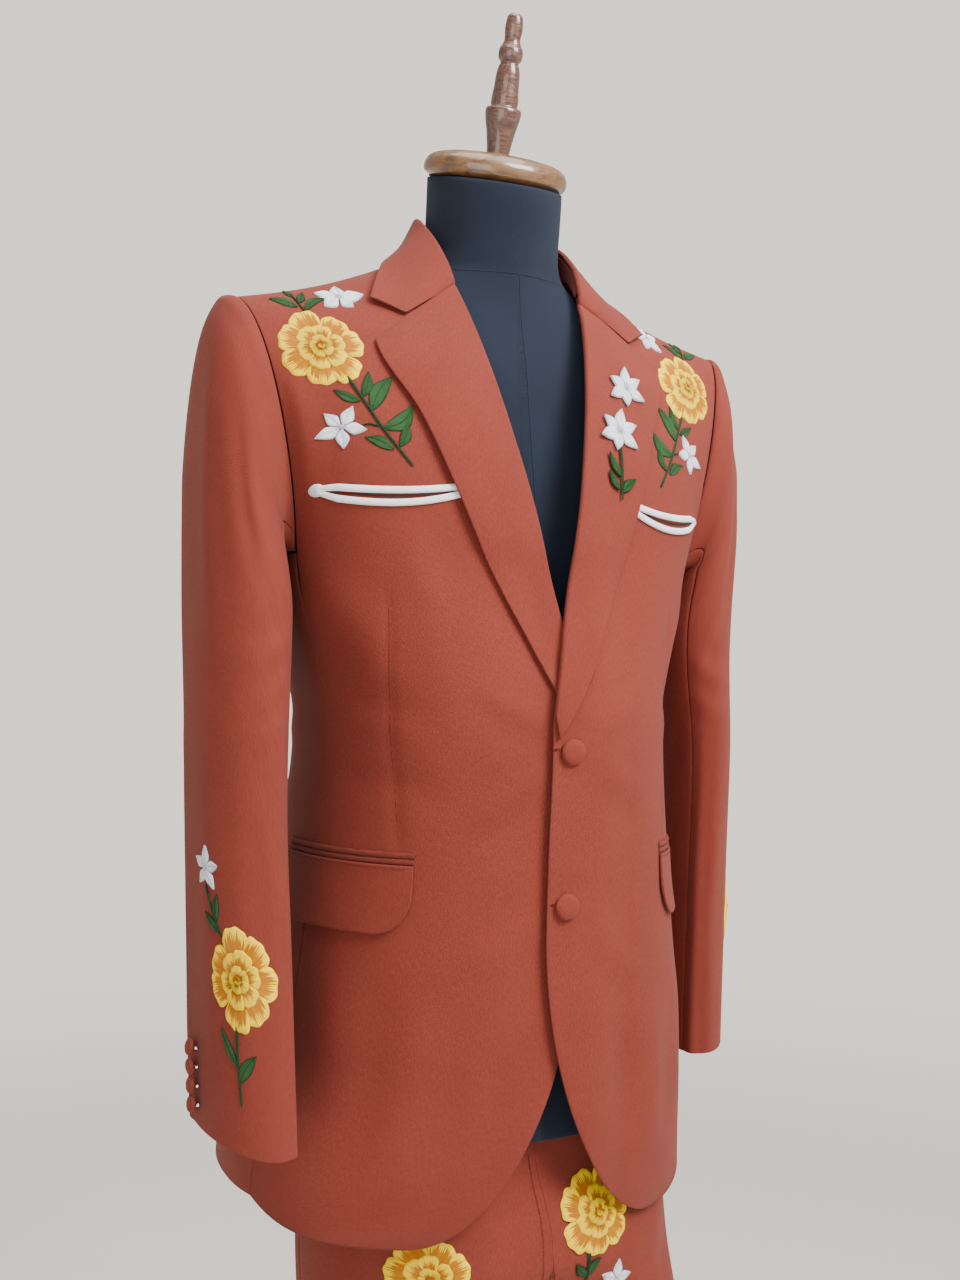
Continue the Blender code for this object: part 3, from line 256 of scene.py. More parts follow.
# Creases of the sleeve, the same but from turn to turn, in radians round the arm
SLEEVE_CREASES = {
    "right": (
        (0.45, -35, 0.52, -300, 12, 1.7), (1.1, -60, 1.3, -210, 11, -1.5),
        (2.2, -235, 1.1, -292, 9, 1.7), (2.15, -268, 1.3, -330, 8.5, 1.4),
        (2.25, -312, 1.0, -352, 10, 1.2), (0.3, -345, 0.42, -610, 15, 1.2),
        (1.75, -380, 1.6, -600, 13, 1.2), (-0.7, -80, -0.62, -330, 13, 1.4),
        (-1.35, -300, -0.75, -372, 10, 1.2), (3.6, -240, 3.9, -420, 12, 1.2),
        (2.9, -300, 3.4, -350, 9, 1.3),
    ),
    "left": (
        (0.38, -45, 0.5, -270, 12, 1.5), (1.2, -70, 1.36, -240, 11, -1.4),
        (2.2, -250, 1.2, -305, 9, 1.5), (2.25, -290, 1.1, -338, 9.5, 1.3),
        (0.25, -370, 0.36, -600, 15, 1.2), (1.65, -400, 1.7, -610, 13, 1.1),
        (-0.8, -95, -0.66, -350, 13, 1.3), (3.5, -260, 3.8, -430, 12, 1.2),
        (2.8, -320, 3.3, -362, 9, 1.2),
    ),
}
# Creases of a trouser leg's front and back in millimetres
LEG_CREASES = {
    "front": (
        (20, -800, 75, -845, 10, 1.6), (18, -835, 90, -900, 11, 1.8),
        (150, -720, 120, -830, 12, -1.2), (120, -1180, 60, -1205, 12, 1.6),
        (60, -1235, 125, -1258, 11, 1.3), (50, -1540, 115, -1566, 11, 1.8),
        (120, -1590, 58, -1612, 10, 1.4),
    ),
    "back": (
        (25, -760, 120, -800, 13, 1.8), (30, -850, 110, -885, 12, 2),
        (40, -905, 125, -950, 12, 1.4), (55, -1190, 120, -1215, 12, 1.8),
        (120, -1240, 60, -1270, 12, 1.5), (58, -1560, 118, -1580, 11, 1.6),
    ),
}


# Small maths

def unit(v):
    return v / np.maximum(np.linalg.norm(v, axis=-1, keepdims=True), 1e-12)


def mix(a, b, t):
    return a * (1 - t) + b * t


def between(a, b, t):
    """Points from a to b, t an array of shares."""
    t = np.asarray(t, float)[..., None]
    return np.asarray(a) * (1 - t) + np.asarray(b) * t


def smooth(t):
    t = np.clip(t, 0.0, 1.0)
    return t * t * (3 - 2 * t)


def stack(*parts):
    """Points or pairs from their separate coordinates."""
    return np.stack(np.broadcast_arrays(*parts), axis=-1).astype(float)


def run_of(path):
    """Length run along a path at each of its points."""
    return np.concatenate([[0], np.cumsum(np.linalg.norm(np.diff(path, axis=0), axis=-1))])


def settings():
    return bpy.context.scene.suit


def bezier(p0, p1, p2, p3, t):
    t = np.asarray(t, float)[..., None]
    return (1 - t)**3 * p0 + 3 * (1 - t)**2 * t * p1 + 3 * (1 - t) * t * t * p2 + t**3 * p3


def read(table, at):
    """Smooth reading of a section table at an array of levels."""
    keys, values = table[:, 0], table[:, 1:]
    slopes = np.gradient(values, keys, axis=0)
    slopes[-1] = 0.0
    at = np.clip(at, keys[0], keys[-1])
    i = np.clip(np.searchsorted(keys, at, side="right") - 1, 0, len(keys) - 2)
    h = (keys[i + 1] - keys[i])[..., None]
    u = (at - keys[i])[..., None] / h
    curve = (2 * u**3 - 3 * u**2 + 1) * values[i] + (u**3 - 2 * u**2 + u) * h * slopes[i]
    curve += (3 * u**2 - 2 * u**3) * values[i + 1] + (u**3 - u**2) * h * slopes[i + 1]
    return np.moveaxis(curve, -1, 0)


def oval(turn, half, front, back, power, mid_y):
    """Point of a flattened ring at a turn in degrees from the centre front."""
    s, c = np.sin(np.radians(turn)), np.cos(np.radians(turn))
    depth = np.where(c > 0, mid_y - front, back - mid_y)
    x = half * np.abs(s)**(2 / power) * np.sign(s)
    y = mid_y - depth * np.abs(c)**(2 / power) * np.sign(c)
    return x, y


def settle(points, part="jacket"):
    """How the jacket sits on the form: its left side closer in, its right skirt swung out."""
    p = np.array(points, float)
    x, z = p[..., 0], p[..., 2]
    drop = NARROW_DROP * smooth((NARROW_FROM - z) / NARROW_OVER)
    left = NARROW * smooth((x - 0.03) / 0.13) * (1 - drop)
    near_neck = smooth(x / 0.045) * smooth((0.17 - x) / 0.1) * smooth(z / 0.05)
    left = left + COLLAR_IN * near_neck
    right = FLARE * smooth((-x - 0.09) / 0.09) * smooth((FLARE_FROM - z) / FLARE_OVER)
    p[..., 0] = x - left - (right if part == "jacket" else 0)
    p[..., 2] = z - COLLAR_LOW * near_neck
    return p


def mirrored(grid, side):
    return grid * ((-1, 1, 1) if side == "right" else (1, 1, 1))


def worn(grid, side, part="jacket"):
    """Mirrors a grid for its side and lets it sit as the jacket is worn."""
    return settle(mirrored(grid, side), part)


def normal_of(surface, a, b, da, db):
    along_a = surface(a + da, b) - surface(a - da, b)
    along_b = surface(a, b + db) - surface(a, b - db)
    return unit(np.cross(along_a, along_b))


def creases(x, level, table):
    """Height of soft ridges with a shallow trough beside each."""
    depth = settings().crease_depth
    rise = np.zeros(np.broadcast(x, level).shape)
    for x0, z0, x1, z1, width, height in np.array(table) / 1000:
        length = sqrt((x1 - x0)**2 + (z1 - z0)**2)
        ex, ez = (x1 - x0) / length, (z1 - z0) / length
        along = ((x - x0) * ex + (level - z0) * ez) / length
        aside = (x - x0) * ez - (level - z0) * ex
        aside = aside + 0.18 * width * np.sin(7.0 * along + 40 * x0)
        fade = smooth(along / 0.35 + 0.25) * smooth((1 - along) / 0.45 + 0.15)
        ridge = np.exp(-(aside / width)**2) - 0.55 * np.exp(-((aside - 1.9 * width) / (1.2 * width))**2)
        rise = rise + height * depth * fade * ridge
    return rise


# Jacket surfaces

def body(turn, level):
    half, front, back, power = read(BODY, np.asarray(level, float))
    x, y = oval(turn, half, front, back, power, SIDE_Y)
    return stack(x, y, level)


def turn_of(x, level):
    half, _, _, power = read(BODY, np.asarray(level, float))
    share = np.minimum(np.abs(x) / half, 1.0)**(power / 2)
    return np.degrees(np.arcsin(share)) * np.sign(x + 1e-12)


def body_out(turn, level, out):
    n = normal_of(body, turn, np.minimum(level, CHEST - 0.003), 0.5, 0.003)
    return body(turn, level) + n * np.asarray(out)[..., None]


def shoulder_line(k):
    k = np.asarray(k, float)
    return between(NECK, TIP, k) + stack(0, 0, -SHOULDER_DIP * np.sin(pi * k))


def upper_front(s, t):
    """Chest above the underarm: s from centre to armhole, t from chest to shoulder."""
    s, t = np.broadcast_arrays(np.asarray(s, float), t)
    p0 = body(FRONT_SEAM * s, np.full(s.shape, CHEST))
    p3 = shoulder_line(s)
    p1 = p0 + between([0, 0.004, 0.085], [0.0095, -0.034, 0.055], s)
    p2 = p3 + between([0.002, -0.07, 0.004], [-0.012, -0.058, -0.004], s)
    return bezier(p0, p1, p2, p3, t)


def neck_curve(k):
    return bezier(NAPE, NAPE + (0.035, 0, 0), NECK + (0, 0.035, 0), NECK, k)


def upper_back(s, t):
    """Back above the underarm: s from centre back to armhole, t from chest to seam."""
    s, t = np.broadcast_arrays(np.asarray(s, float), t)
    p0 = body(180 - (180 - BACK_SEAM) * s, np.full(s.shape, CHEST))
    k = np.clip(s / NECK_SHARE, 0, 1)
    m = np.clip((s - NECK_SHARE) / (1 - NECK_SHARE), 0, 1)
    on_neck = (s < NECK_SHARE)[..., None]
    p3 = np.where(on_neck, neck_curve(k), shoulder_line(m))
    reach = np.where(on_neck, between([0, 0.006, -0.055], [0, 0.055, -0.006], smooth(k)),
                     between([0, 0.055, -0.006], [-0.01, 0.05, -0.006], m))
    p1 = p0 + between([0, 0.012, 0.09], [0.004, 0.014, 0.06], s)
    return bezier(p0, p1, p3 + reach, p3, t)


def front_out(s, t, out):
    """Point over the chest patch, straight up from the shoulder seam where it nears it."""
    n = normal_of(upper_front, s, t, 0.01, 0.01)
    along = TIP - NECK
    upright = unit(np.array([-along[2], 0, along[0]]))
    n = unit(n + (upright - n) * smooth((t - 0.75) / 0.25)[..., None])
    return upper_front(s, t) + n * np.asarray(out)[..., None]


def patch_at(x, level):
    """Shares (s, t) of the chest patch at a given x and level, by Newton steps."""
    s = np.clip(x / 0.2, 0.02, 0.9)
    t = np.clip((level - CHEST) / 0.26, 0.02, 0.9)
    for _ in range(25):
        p = upper_front(s, t)
        ds = (upper_front(s + 1e-4, t) - p) / 1e-4
        dt = (upper_front(s, t + 1e-4) - p) / 1e-4
        ex, ez = x - p[..., 0], level - p[..., 2]
        det = ds[..., 0] * dt[..., 2] - dt[..., 0] * ds[..., 2]
        s = np.clip(s + (ex * dt[..., 2] - dt[..., 0] * ez) / det, -0.3, 1.0)
        t = np.clip(t + (ds[..., 0] * ez - ex * ds[..., 2]) / det, -0.2, 0.999)
    return s, t


def front_at(x, level, out=0.0):
    """Point of the front, x out from the centre line, moved out from the cloth."""
    x, level, out = np.broadcast_arrays(np.asarray(x, float), level, out)
    low_level = np.minimum(level, CHEST + 0.02)
    low = body_out(turn_of(x, low_level), low_level, out)
    low[..., 2] = level
    s, t = patch_at(x, np.maximum(level, CHEST - 0.02))
    share = smooth((level - CHEST + 0.015) / 0.03)
    return between(low, 0, share) + front_out(s, t, out) * share[..., None]


def lap_lift(x, side):
    """The left front stands over the right one near the centre line."""
    if side == "right":
        return np.zeros(np.shape(x))
    return LAP * (1 - smooth((x - 0.02) / 0.05))


def button_dents(x, level):
    """Soft dents over the two buttons, where they pull on the cloth."""
    rise = np.zeros(np.broadcast(x, level).shape)
    for z in BUTTON_LEVELS:
        for dent_x, over, wide, tall, height in BUTTON_DENTS:
            rise += height * np.exp(-((x - dent_x) / wide)**2 - ((level - z - over) / tall)**2)
    return rise


def dart_x(level):
    """Distance of the chest dart from the centre line."""
    return mix(DART_LOW_X, DART_HIGH_X, (level - DART_LOW) / DART_RISE)


def seam_fade(x, level):
    """Share of the front's creases kept, falling to none at the armhole and the side seam."""
    arm = upper_front(1.0, np.linspace(0, 1, 60))
    side = body(FRONT_SEAM, np.linspace(HEM_FRONT, CHEST, 60))
    line = np.concatenate([side[:-1], arm])
    return smooth((np.interp(level, line[:, 2], line[:, 0]) - x) / 0.014)


def front_rise(x, level, side):
    """How far the front's cloth stands out of the plain section."""
    rise = creases(x, level, FRONT_CREASES[side]) * seam_fade(x, level) + lap_lift(x, side)
    if side == "left":
        rise = rise + button_dents(x, level)
    ends = smooth((level + 0.44) / 0.01) * smooth((-0.225 - level) / 0.03)
    return rise - 0.001 * np.exp(-((x - dart_x(level)) / 0.004)**2) * ends


def cloth_at(x, level, out, side):
    """Point over the front's cloth, creases and lap included, mirrored for the right side."""
    return worn(front_at(x, level, front_rise(x, level, side) + out), side)


def roll_x(level):
    """Distance of the lapel's roll line from the centre."""
    share = (level - BREAK) / (GORGE[1] - BREAK)
    low = -OVERLAP + share * (GORGE[0] + OVERLAP)
    high = GORGE[0] + (level - GORGE[1]) * (NECK[0] - GORGE[0]) / (NECK[2] - GORGE[1])
    return np.where(level > GORGE[1], high, low)


def edge_x(level):
    """Inner edge of the front: cutaway, straight buttoned edge, then roll line."""
    q = np.clip((CUTAWAY_TOP - level) / (CUTAWAY_TOP - HEM_FRONT), 0, 1)
    cut = HEM_LOW_X - (HEM_LOW_X + OVERLAP) * (1 - q**CUTAWAY_POWER)**(1 / CUTAWAY_POWER)
    return np.where(level > BREAK, roll_x(level), np.where(level > CUTAWAY_TOP, -OVERLAP, cut))


def patch_edge(t):
    """Share s at which the roll line crosses a row of the chest patch."""
    low, high = np.full(t.shape, -0.1), np.full(t.shape, 0.6)
    for _ in range(40):
        mid = (low + high) / 2
        p = upper_front(mid, t)
        inside = p[..., 0] < roll_x(p[..., 2])
        low, high = np.where(inside, mid, low), np.where(inside, high, mid)
    return np.where(t > 0.8, np.maximum(low, 0), low)


# Sleeves

def armhole(angle):
    """Seam point at a ring angle: 0 shoulder, 90 front, 180 underarm."""
    k = np.clip((angle - ARM_FRONT) / (ARM_BACK - ARM_FRONT), 0, 1)
    under = body(mix(FRONT_SEAM, BACK_SEAM, k), np.full(np.shape(angle), CHEST))
    ahead = upper_front(1.0, np.clip(1 - angle / ARM_FRONT, 0, 1))
    behind = upper_back(1.0, np.clip((angle - ARM_BACK) / (360 - ARM_BACK), 0, 1))
    point = np.where((angle <= ARM_FRONT)[..., None], ahead, under)
    return np.where((angle >= ARM_BACK)[..., None], behind, point)


def sleeve_at(row, angle, side):
    """Point of the sleeve: row number along its length, ring angle round it in degrees."""
    row, angle = np.broadcast_arrays(np.asarray(row, float), angle)
    out_x, out_z, in_x, in_z, depth, twist, share = read(SLEEVE, np.clip(row, 0, len(SLEEVE) - 1))
    ring = np.radians(angle)
    length = np.clip(-out_z / SLEEVE_LENGTH, 0, 1)
    mid_y = SLEEVE_Y - SWING[side] * length**SWING_POWER[side]
    out_x = out_x - LEAN[side] * smooth(length / 0.2) * (1 - 0.8 * length)
    if side == "left":    # settle brings the whole sleeve in; below the armhole it comes out again
        out_x = out_x + NARROW * smooth((length - 0.06) / 0.2) - HEAD_IN * smooth((0.15 - length) / 0.06)
        in_x = in_x + NARROW * smooth((length - 0.3) / 0.3)
    mid_x, half = (out_x + in_x) / 2, (out_x - in_x) / 2
    dx, dy = half * np.cos(ring), -depth * np.sin(ring)
    turn = np.radians(twist)
    x = mid_x + dx * np.cos(turn) + dy * np.sin(turn)
    y = mid_y - dx * np.sin(turn) + dy * np.cos(turn)
    z = (out_z + in_z) / 2 + (out_z - in_z) / 2 * np.cos(ring)
    z = z - CUFF_SLANT * depth * np.sin(ring - radians(CUFF_SLANT_TURN)) * smooth((row - 8) / 5)
    seam = armhole(angle % 360) + (2 * SEAM, 0, 0)
    below = (angle % 360 >= ARM_FRONT) & (angle % 360 <= ARM_BACK)
    seam = seam + below[..., None] * np.array([0, 0, 4 * SEAM])
    return between(stack(x, y, z), seam, np.clip(share, 0, 1))


def sleeve_rise(row, angle, side):
    """Fullness of the sleeve head and the underarm, and the soft creases of the arm."""
    arm = ARM_RADIUS * 1000
    turn = np.radians((angle + 180) % 360 - 180)
    level = np.interp(row, SLEEVE[:, 0], SLEEVE[:, 2])
    table = np.array(SLEEVE_CREASES[side]) * (arm, 1, arm, 1, 1, 1)
    rise = np.zeros(np.broadcast(row, angle).shape)
    for lap in (0, 2 * pi):
        rise += creases((turn + lap) * ARM_RADIUS, level, table)
    head = np.exp(-((row - 1.1) / 0.8)**2) * smooth((np.cos(turn) + 0.3) / 0.8)
    pressed = np.exp(-(((angle - 116) / 9)**2)) * smooth((row - 7) / 4)
    full = np.exp(-((angle - 142) / 36)**2 - ((row - 4.3) / 2.4)**2)
    return rise + 0.0022 * head + 0.0034 * pressed + 0.01 * full


def sleeve_out(row, angle, side, out):
    n = normal_of(lambda a, b: sleeve_at(a, b, side), row, angle, 0.15, 3.0)
    p = sleeve_at(row, angle, side)
    centre = (sleeve_at(row, 0, side) + sleeve_at(row, 180, side)) / 2
    n = n * np.sign(np.sum(n * (p - centre), axis=-1, keepdims=True))
    return p + n * np.asarray(out)[..., None]


def back_seam_at(row):
    """Ring angle of the back seam, turning forward towards the cuff."""
    return SLEEVE_BACK_SEAM + SLEEVE_TURN * smooth((row - 1) / 11)


def sleeve_columns(part, angles, row):
    """The part's ring angles at a row, stretched to end at the turned back seam."""
    turned = back_seam_at(row) - SLEEVE_BACK_SEAM
    if part == "top":
        span = SLEEVE_FRONT_SEAM + 360 - SLEEVE_BACK_SEAM
        return SLEEVE_FRONT_SEAM - (SLEEVE_FRONT_SEAM - angles) * (span - turned) / span
    span = SLEEVE_BACK_SEAM - SLEEVE_FRONT_SEAM
    return SLEEVE_FRONT_SEAM + (angles - SLEEVE_FRONT_SEAM) * (span + turned) / span


def arm_cloth(arc, level, out, side):
    """Point over the sleeve: arc forward from its outermost line, in metres."""
    turns = np.linspace(-90, 130, 89)
    row = np.interp(-level, -SLEEVE[:, 2], SLEEVE[:, 0])
    ring = sleeve_at(11.0, turns, side)
    arcs = run_of(ring)
    arcs -= np.interp(0, turns, arcs)
    angle = np.interp(arc, arcs, turns)
    return worn(sleeve_out(row, angle, side, sleeve_rise(row, angle, side) + out), side, "sleeve")


# Trousers

def trouser(around, level):
    """Surface of one leg: around runs 0 outseam to 1 centre front, or -1 centre back."""
    around, level = np.broadcast_arrays(np.asarray(around, float), level)
    share, fore = np.abs(around), around >= 0
    half, front, back = read(HIP, level)
    turn = np.where(fore, 90 - 90 * share, 90 + 90 * share)
    hx, hy = oval(turn, half, front, back, HIP_SQUARE, HIP_Y)
    cx, cy, wide, deep = read(LEG, level)
    a = pi * share
    lx = cx + wide * np.cos(a)
    ly = cy - deep * np.abs(np.sin(a))**0.9 * np.where(fore, 1, -1)
    m = smooth((FORK + FORK_BLEND - level) / FORK_BLEND)
    return stack(mix(hx, lx, m), mix(hy, ly, m), level)


def trouser_out(around, level, out):
    step = np.where(around < 0, -0.02, 0.02)
    du = trouser(around, level) - trouser(around - step, level)
    dv = trouser(around, level + 0.004) - trouser(around, level - 0.004)
    n = unit(np.cross(du, dv))
    centre = read(LEG, np.asarray(level, float))
    away = trouser(around, level) - stack(centre[0], centre[1], level)
    n = n * np.sign(np.sum(n * away, axis=-1, keepdims=True))
    return trouser(around, level) + n * np.asarray(out)[..., None]


def hang(level):
    return HANG * smooth((RIM - level) / 0.08)


def leg_rise(around, level):
    """Pressed creases front and back, and the soft ones across."""
    x = trouser(around, level)[..., 0]
    share = np.abs(around)
    fore, aft = creases(x, level, LEG_CREASES["front"]), creases(x, level, LEG_CREASES["back"])
    soft = np.where(around >= 0, fore, aft) * smooth(share / 0.1) * smooth((1 - share) / 0.1)
    pressed = np.exp(-np.abs(share - 0.5) / 0.028) * smooth((-0.86 - level) / 0.12)
    return soft + 0.005 * pressed


def thigh_cloth(x, level, out, side):
    """Point over a trouser front at world x and level."""
    x, level, out = np.broadcast_arrays(np.asarray(x, float), level, out)
    sign = -1 if side == "right" else 1
    local = sign * (x - hang(level))
    low, high = np.zeros(x.shape), np.ones(x.shape)
    for _ in range(30):
        mid = (low + high) / 2
        wider = trouser(mid, level)[..., 0] > local
        low, high = np.where(wider, mid, low), np.where(wider, high, mid)
    p = trouser_out(low, level, leg_rise(low, level) + out)
    return p * (sign, 1, 1) + stack(hang(level), 0, 0)


# Form

def form_at(turn, level, out=0.0):
    """Point of the dress form, its neck tilted forward."""
    half, front, back, power = read(FORM, np.asarray(level, float))
    mid = (front + back) / 2 + FORM_SET
    x, y = oval(turn, half + out, front - out, back + out, power, mid)
    tilt = tan(NECK_TILT) * smooth((level - 0.06) / 0.06)
    return stack(x, y, level + tilt * (y - mid))


# Meshes

def grid_normals(grid, outward):
    n = unit(np.cross(np.gradient(grid, axis=0), np.gradient(grid, axis=1)))
    return n if np.sum(n * outward) > 0 else -n


def raised(grid, outward, rise):
    """The grid's points moved out of their surface."""
    return grid + grid_normals(grid, outward) * rise[..., None]


def creases_on(grid, table):
    return creases(np.abs(grid[..., 0]), grid[..., 2], table)


def grid_faces(rows, cols, start=0, flip=False):
    r, c = np.meshgrid(np.arange(rows - 1), np.arange(cols - 1), indexing="ij")
    a = (r * cols + c).ravel() + start
    quad = np.stack([a, a + 1, a + cols + 1, a + cols], axis=1)
    return quad[:, ::-1] if flip else quad


def make_piece(name, points, faces, uvs, finish):
    """One mesh object, its levels raised to the floor, with its cut lengths as UVs."""
    mesh = bpy.data.meshes.new(name)
    mesh.from_pydata((points + (0, 0, SHOULDER)).tolist(), [], [tuple(f) for f in faces])
    corners = np.empty(len(mesh.loops), np.int32)
    mesh.loops.foreach_get("vertex_index", corners)
    layer = mesh.uv_layers.new(name="cut")
    layer.data.foreach_set("uv", uvs[corners].astype(np.float32).ravel())
    mesh.shade_smooth()
    mesh.materials.append(finish)
    piece = bpy.data.objects.new(name, mesh)
    bpy.context.scene.collection.objects.link(piece)
    return piece


def fit(piece, nodes=()):
    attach(piece, "root")
    if nodes:
        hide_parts(*nodes)
    return piece


def cut_lengths(grid):
    """Lengths along the columns and rows of a grid, as a cutter would lay it flat."""
    across = np.linalg.norm(np.diff(grid, axis=1), axis=-1).cumsum(axis=1)
    down = np.linalg.norm(np.diff(grid, axis=0), axis=-1).cumsum(axis=0)
    across = np.concatenate([np.zeros((len(grid), 1)), across], axis=1)
    down = np.concatenate([np.zeros((1, grid.shape[1])), down], axis=0)
    return across, down


RIM_TURNS = np.radians([0, 45, 90, 135, 180])


def round_trip(rows, cols):
    """Row and column of each point round the border of a grid."""
    r = [np.zeros(cols), np.arange(1, rows), np.full(cols - 1, rows - 1), np.arange(rows - 2, 0, -1)]
    c = [np.arange(cols), np.full(rows - 1, cols - 1), np.arange(cols - 2, -1, -1), np.zeros(rows - 2)]
    return np.concatenate(r).astype(int), np.concatenate(c).astype(int)


def cloth_shell(name, grid, outward, thick, finish, edge=0.45):
    """Closed cloth wall under a grid of its face points, with softly rounded edges."""
    rows, cols = grid.shape[:2]
    n = grid_normals(grid, outward)
    r, c = round_trip(rows, cols)
    away = unit(grid[r, c] - grid[np.clip(r, 1, rows - 2), np.clip(c, 1, cols - 2)])
    away = unit(away - n[r, c] * np.sum(away * n[r, c], axis=-1, keepdims=True))
    bend = edge * thick
    middle = grid[r, c] - n[r, c] * thick / 2 - away * bend
    arcs = [middle + n[r, c] * thick / 2 * cos(a) + away * bend * sin(a) for a in RIM_TURNS]
    top, low = grid.copy(), grid - n * thick
    top[r, c], low[r, c] = arcs[0], arcs[-1]
    points = np.concatenate([top.reshape(-1, 3), low.reshape(-1, 3)] + arcs[1:-1])
    flat = np.stack(cut_lengths(grid), axis=-1)
    uvs = np.concatenate([flat.reshape(-1, 2)] * 2 + [flat[r, c]] * 3)
    count, size = rows * cols, len(r)
    between_rings = [2 * count + k * size + np.arange(size) for k in range(3)]
    rings = [r * cols + c] + between_rings + [count + r * cols + c]
    faces = [grid_faces(rows, cols), grid_faces(rows, cols, count, flip=True)]
    for upper, lower in zip(rings[:-1], rings[1:]):
        faces.append(np.stack([np.roll(upper, -1), upper, lower, np.roll(lower, -1)], axis=1))
    faces = np.concatenate(faces)
    a, b, d = points[faces[:, 0]], points[faces[:, 1]], points[faces[:, 2]]
    if np.einsum("ij,ij->i", a, np.cross(b, d)).sum() < 0:
        faces = faces[:, ::-1]
    return make_piece(name, points, faces, uvs, finish)


def declare(grid, held="hung", rests_on=("form_body",)):
    """Works out a cloth piece's cut lengths, laid flat, and keeps nothing of them."""
    across, down = cut_lengths(grid)
    list(rests_on)


def sew(name, solid, grid, outward, thick, edge=0.45, held="hung", rests_on=("form_body",)):
    piece = cloth_shell(name, grid, outward, thick, rust_twill(), edge)
    fit(piece, [solid])
    declare(grid, held, rests_on)


class Patchwork:
    """Collects many small open or closed patches into one mesh."""

    def __init__(self):
        self.points, self.faces, self.uvs, self.count = [], [], [], 0

    def add(self, points, faces, uvs):
        self.points.append(points.reshape(-1, 3))
        self.faces.append(np.asarray(faces) + self.count)
        self.uvs.append(uvs.reshape(-1, 2))
        self.count += len(self.points[-1])

    def add_grid(self, grid, uvs, outward=None):
        faces = grid_faces(*grid.shape[:2])
        if outward is not None:
            n = np.cross(np.gradient(grid, axis=0), np.gradient(grid, axis=1))
            if np.sum(n * outward) < 0:
                faces = faces[:, ::-1]
        self.add(grid, faces, uvs)

    def add_cord(self, path, normals, wide, tall, sides=8, closed=False):
        """Oval cord along a path: wide across, tall along the normals. Round ends."""
        path = np.asarray(path, float)
        count = len(path)
        if closed:
            along = unit(np.roll(path, -1, axis=0) - np.roll(path, 1, axis=0))
        else:
            along = unit(np.gradient(path, axis=0))
        wide, tall = np.broadcast_to(wide, count), np.broadcast_to(tall, count)
        aside = unit(np.cross(along, normals))
        up = unit(np.cross(aside, along))
        turns = 2 * pi * np.arange(sides) / sides
        ring = (path[:, None] + aside[:, None] * (wide[:, None] * np.cos(turns))[..., None]
                + up[:, None] * (tall[:, None] * np.sin(turns))[..., None])
        uvs = stack(np.arange(sides) / sides, run_of(path)[:, None] * 100)
        faces = []
        for k in range(count if closed else count - 1):
            m = (k + 1) % count
            for i in range(sides):
                j = (i + 1) % sides
                faces.append((k * sides + i, m * sides + i, m * sides + j, k * sides + j))
        if not closed:
            ring = np.concatenate([ring.reshape(-1, 3), path[:1], path[-1:]])
            uvs = np.concatenate([uvs.reshape(-1, 2), uvs[0, :1], uvs[-1, :1]])
            last = (count - 1) * sides
            for i in range(sides):
                j = (i + 1) % sides
                faces.append((i, j, count * sides, count * sides))
                faces.append((last + j, last + i, count * sides + 1, count * sides + 1))
        self.add(ring, faces, uvs)

    def make(self, name, finish):
        faces = np.concatenate(self.faces)
        solid = [tuple(f[:3]) if f[2] == f[3] else tuple(f) for f in faces.tolist()]
        return make_piece(name, np.concatenate(self.points), solid, np.concatenate(self.uvs), finish)


def close_rings(rings):
    """Points and faces of a solid through matching rings, its two ends closed by fans."""
    count, sides = rings.shape[:2]
    last, total = (count - 1) * sides, count * sides
    faces = []
    for k in range(0, last, sides):
        for i in range(sides):
            j = (i + 1) % sides
            faces.append((k + i, k + j, k + sides + j, k + sides + i))
    for i in range(sides):
        j = (i + 1) % sides
        faces.append((j, i, total))
        faces.append((last + i, last + j, total + 1))
    return np.concatenate([rings.reshape(-1, 3), [rings[0].mean(axis=0), rings[-1].mean(axis=0)]]), faces


def lathe(name, outline, place, finish, sides=96):
    """Turned solid: outline of (radius, height), place(radius, height, turns) gives points."""
    turns = 2 * pi * np.arange(sides) / sides
    points, faces = close_rings(np.array([place(r, h, turns) for r, h in outline]))
    heights = np.array([h for r, h in outline])
    uvs = stack(turns / (2 * pi), heights[:, None] * 10).reshape(-1, 2)
    uvs = np.concatenate([uvs, [[0.5, heights[0] * 10], [0.5, heights[-1] * 10]]])
    return make_piece(name, points, faces, uvs, finish)


def fine_outline(outline, steps=5):
    """The same outline through more points, on a smooth curve."""
    o = np.array(outline)
    run = run_of(o)
    table = np.column_stack([run, o])
    at = np.unique(np.concatenate([np.linspace(a, b, steps + 1) for a, b in zip(run[:-1], run[1:])]))
    return np.array(read(table, at)).T


# Shader building

def feed(tree, target, inputs):
    """Links sockets to a node's inputs, and sets the plain values on them."""
    for key, value in inputs.items():
        if isinstance(value, bpy.types.NodeSocket):
            tree.links.new(value, target.inputs[key])
        else:
            target.inputs[key].default_value = value


def node(tree, kind, inputs=None, **values):
    made = tree.nodes.new(kind)
    for key, value in values.items():
        setattr(made, key, value)
    feed(tree, made, inputs or {})
    return made


def calc(tree, operation, a, b=0.0, c=0.0):
    return node(tree, "ShaderNodeMath", {0: a, 1: b, 2: c}, operation=operation).outputs[0]


def mix_color(tree, factor, a, b, blend="MIX"):
    made = node(tree, "ShaderNodeMix", {0: factor, 6: a, 7: b}, data_type="RGBA", blend_type=blend)
    return made.outputs[2]


def noise(tree, vector, scale, detail, **more):
    inputs = {"Vector": vector, "Scale": scale, "Detail": detail, **more}
    return node(tree, "ShaderNodeTexNoise", inputs).outputs["Fac"]


def stretched(tree, vector, factors):
    return node(tree, "ShaderNodeVectorMath", {0: vector, 1: factors}, operation="MULTIPLY").outputs[0]


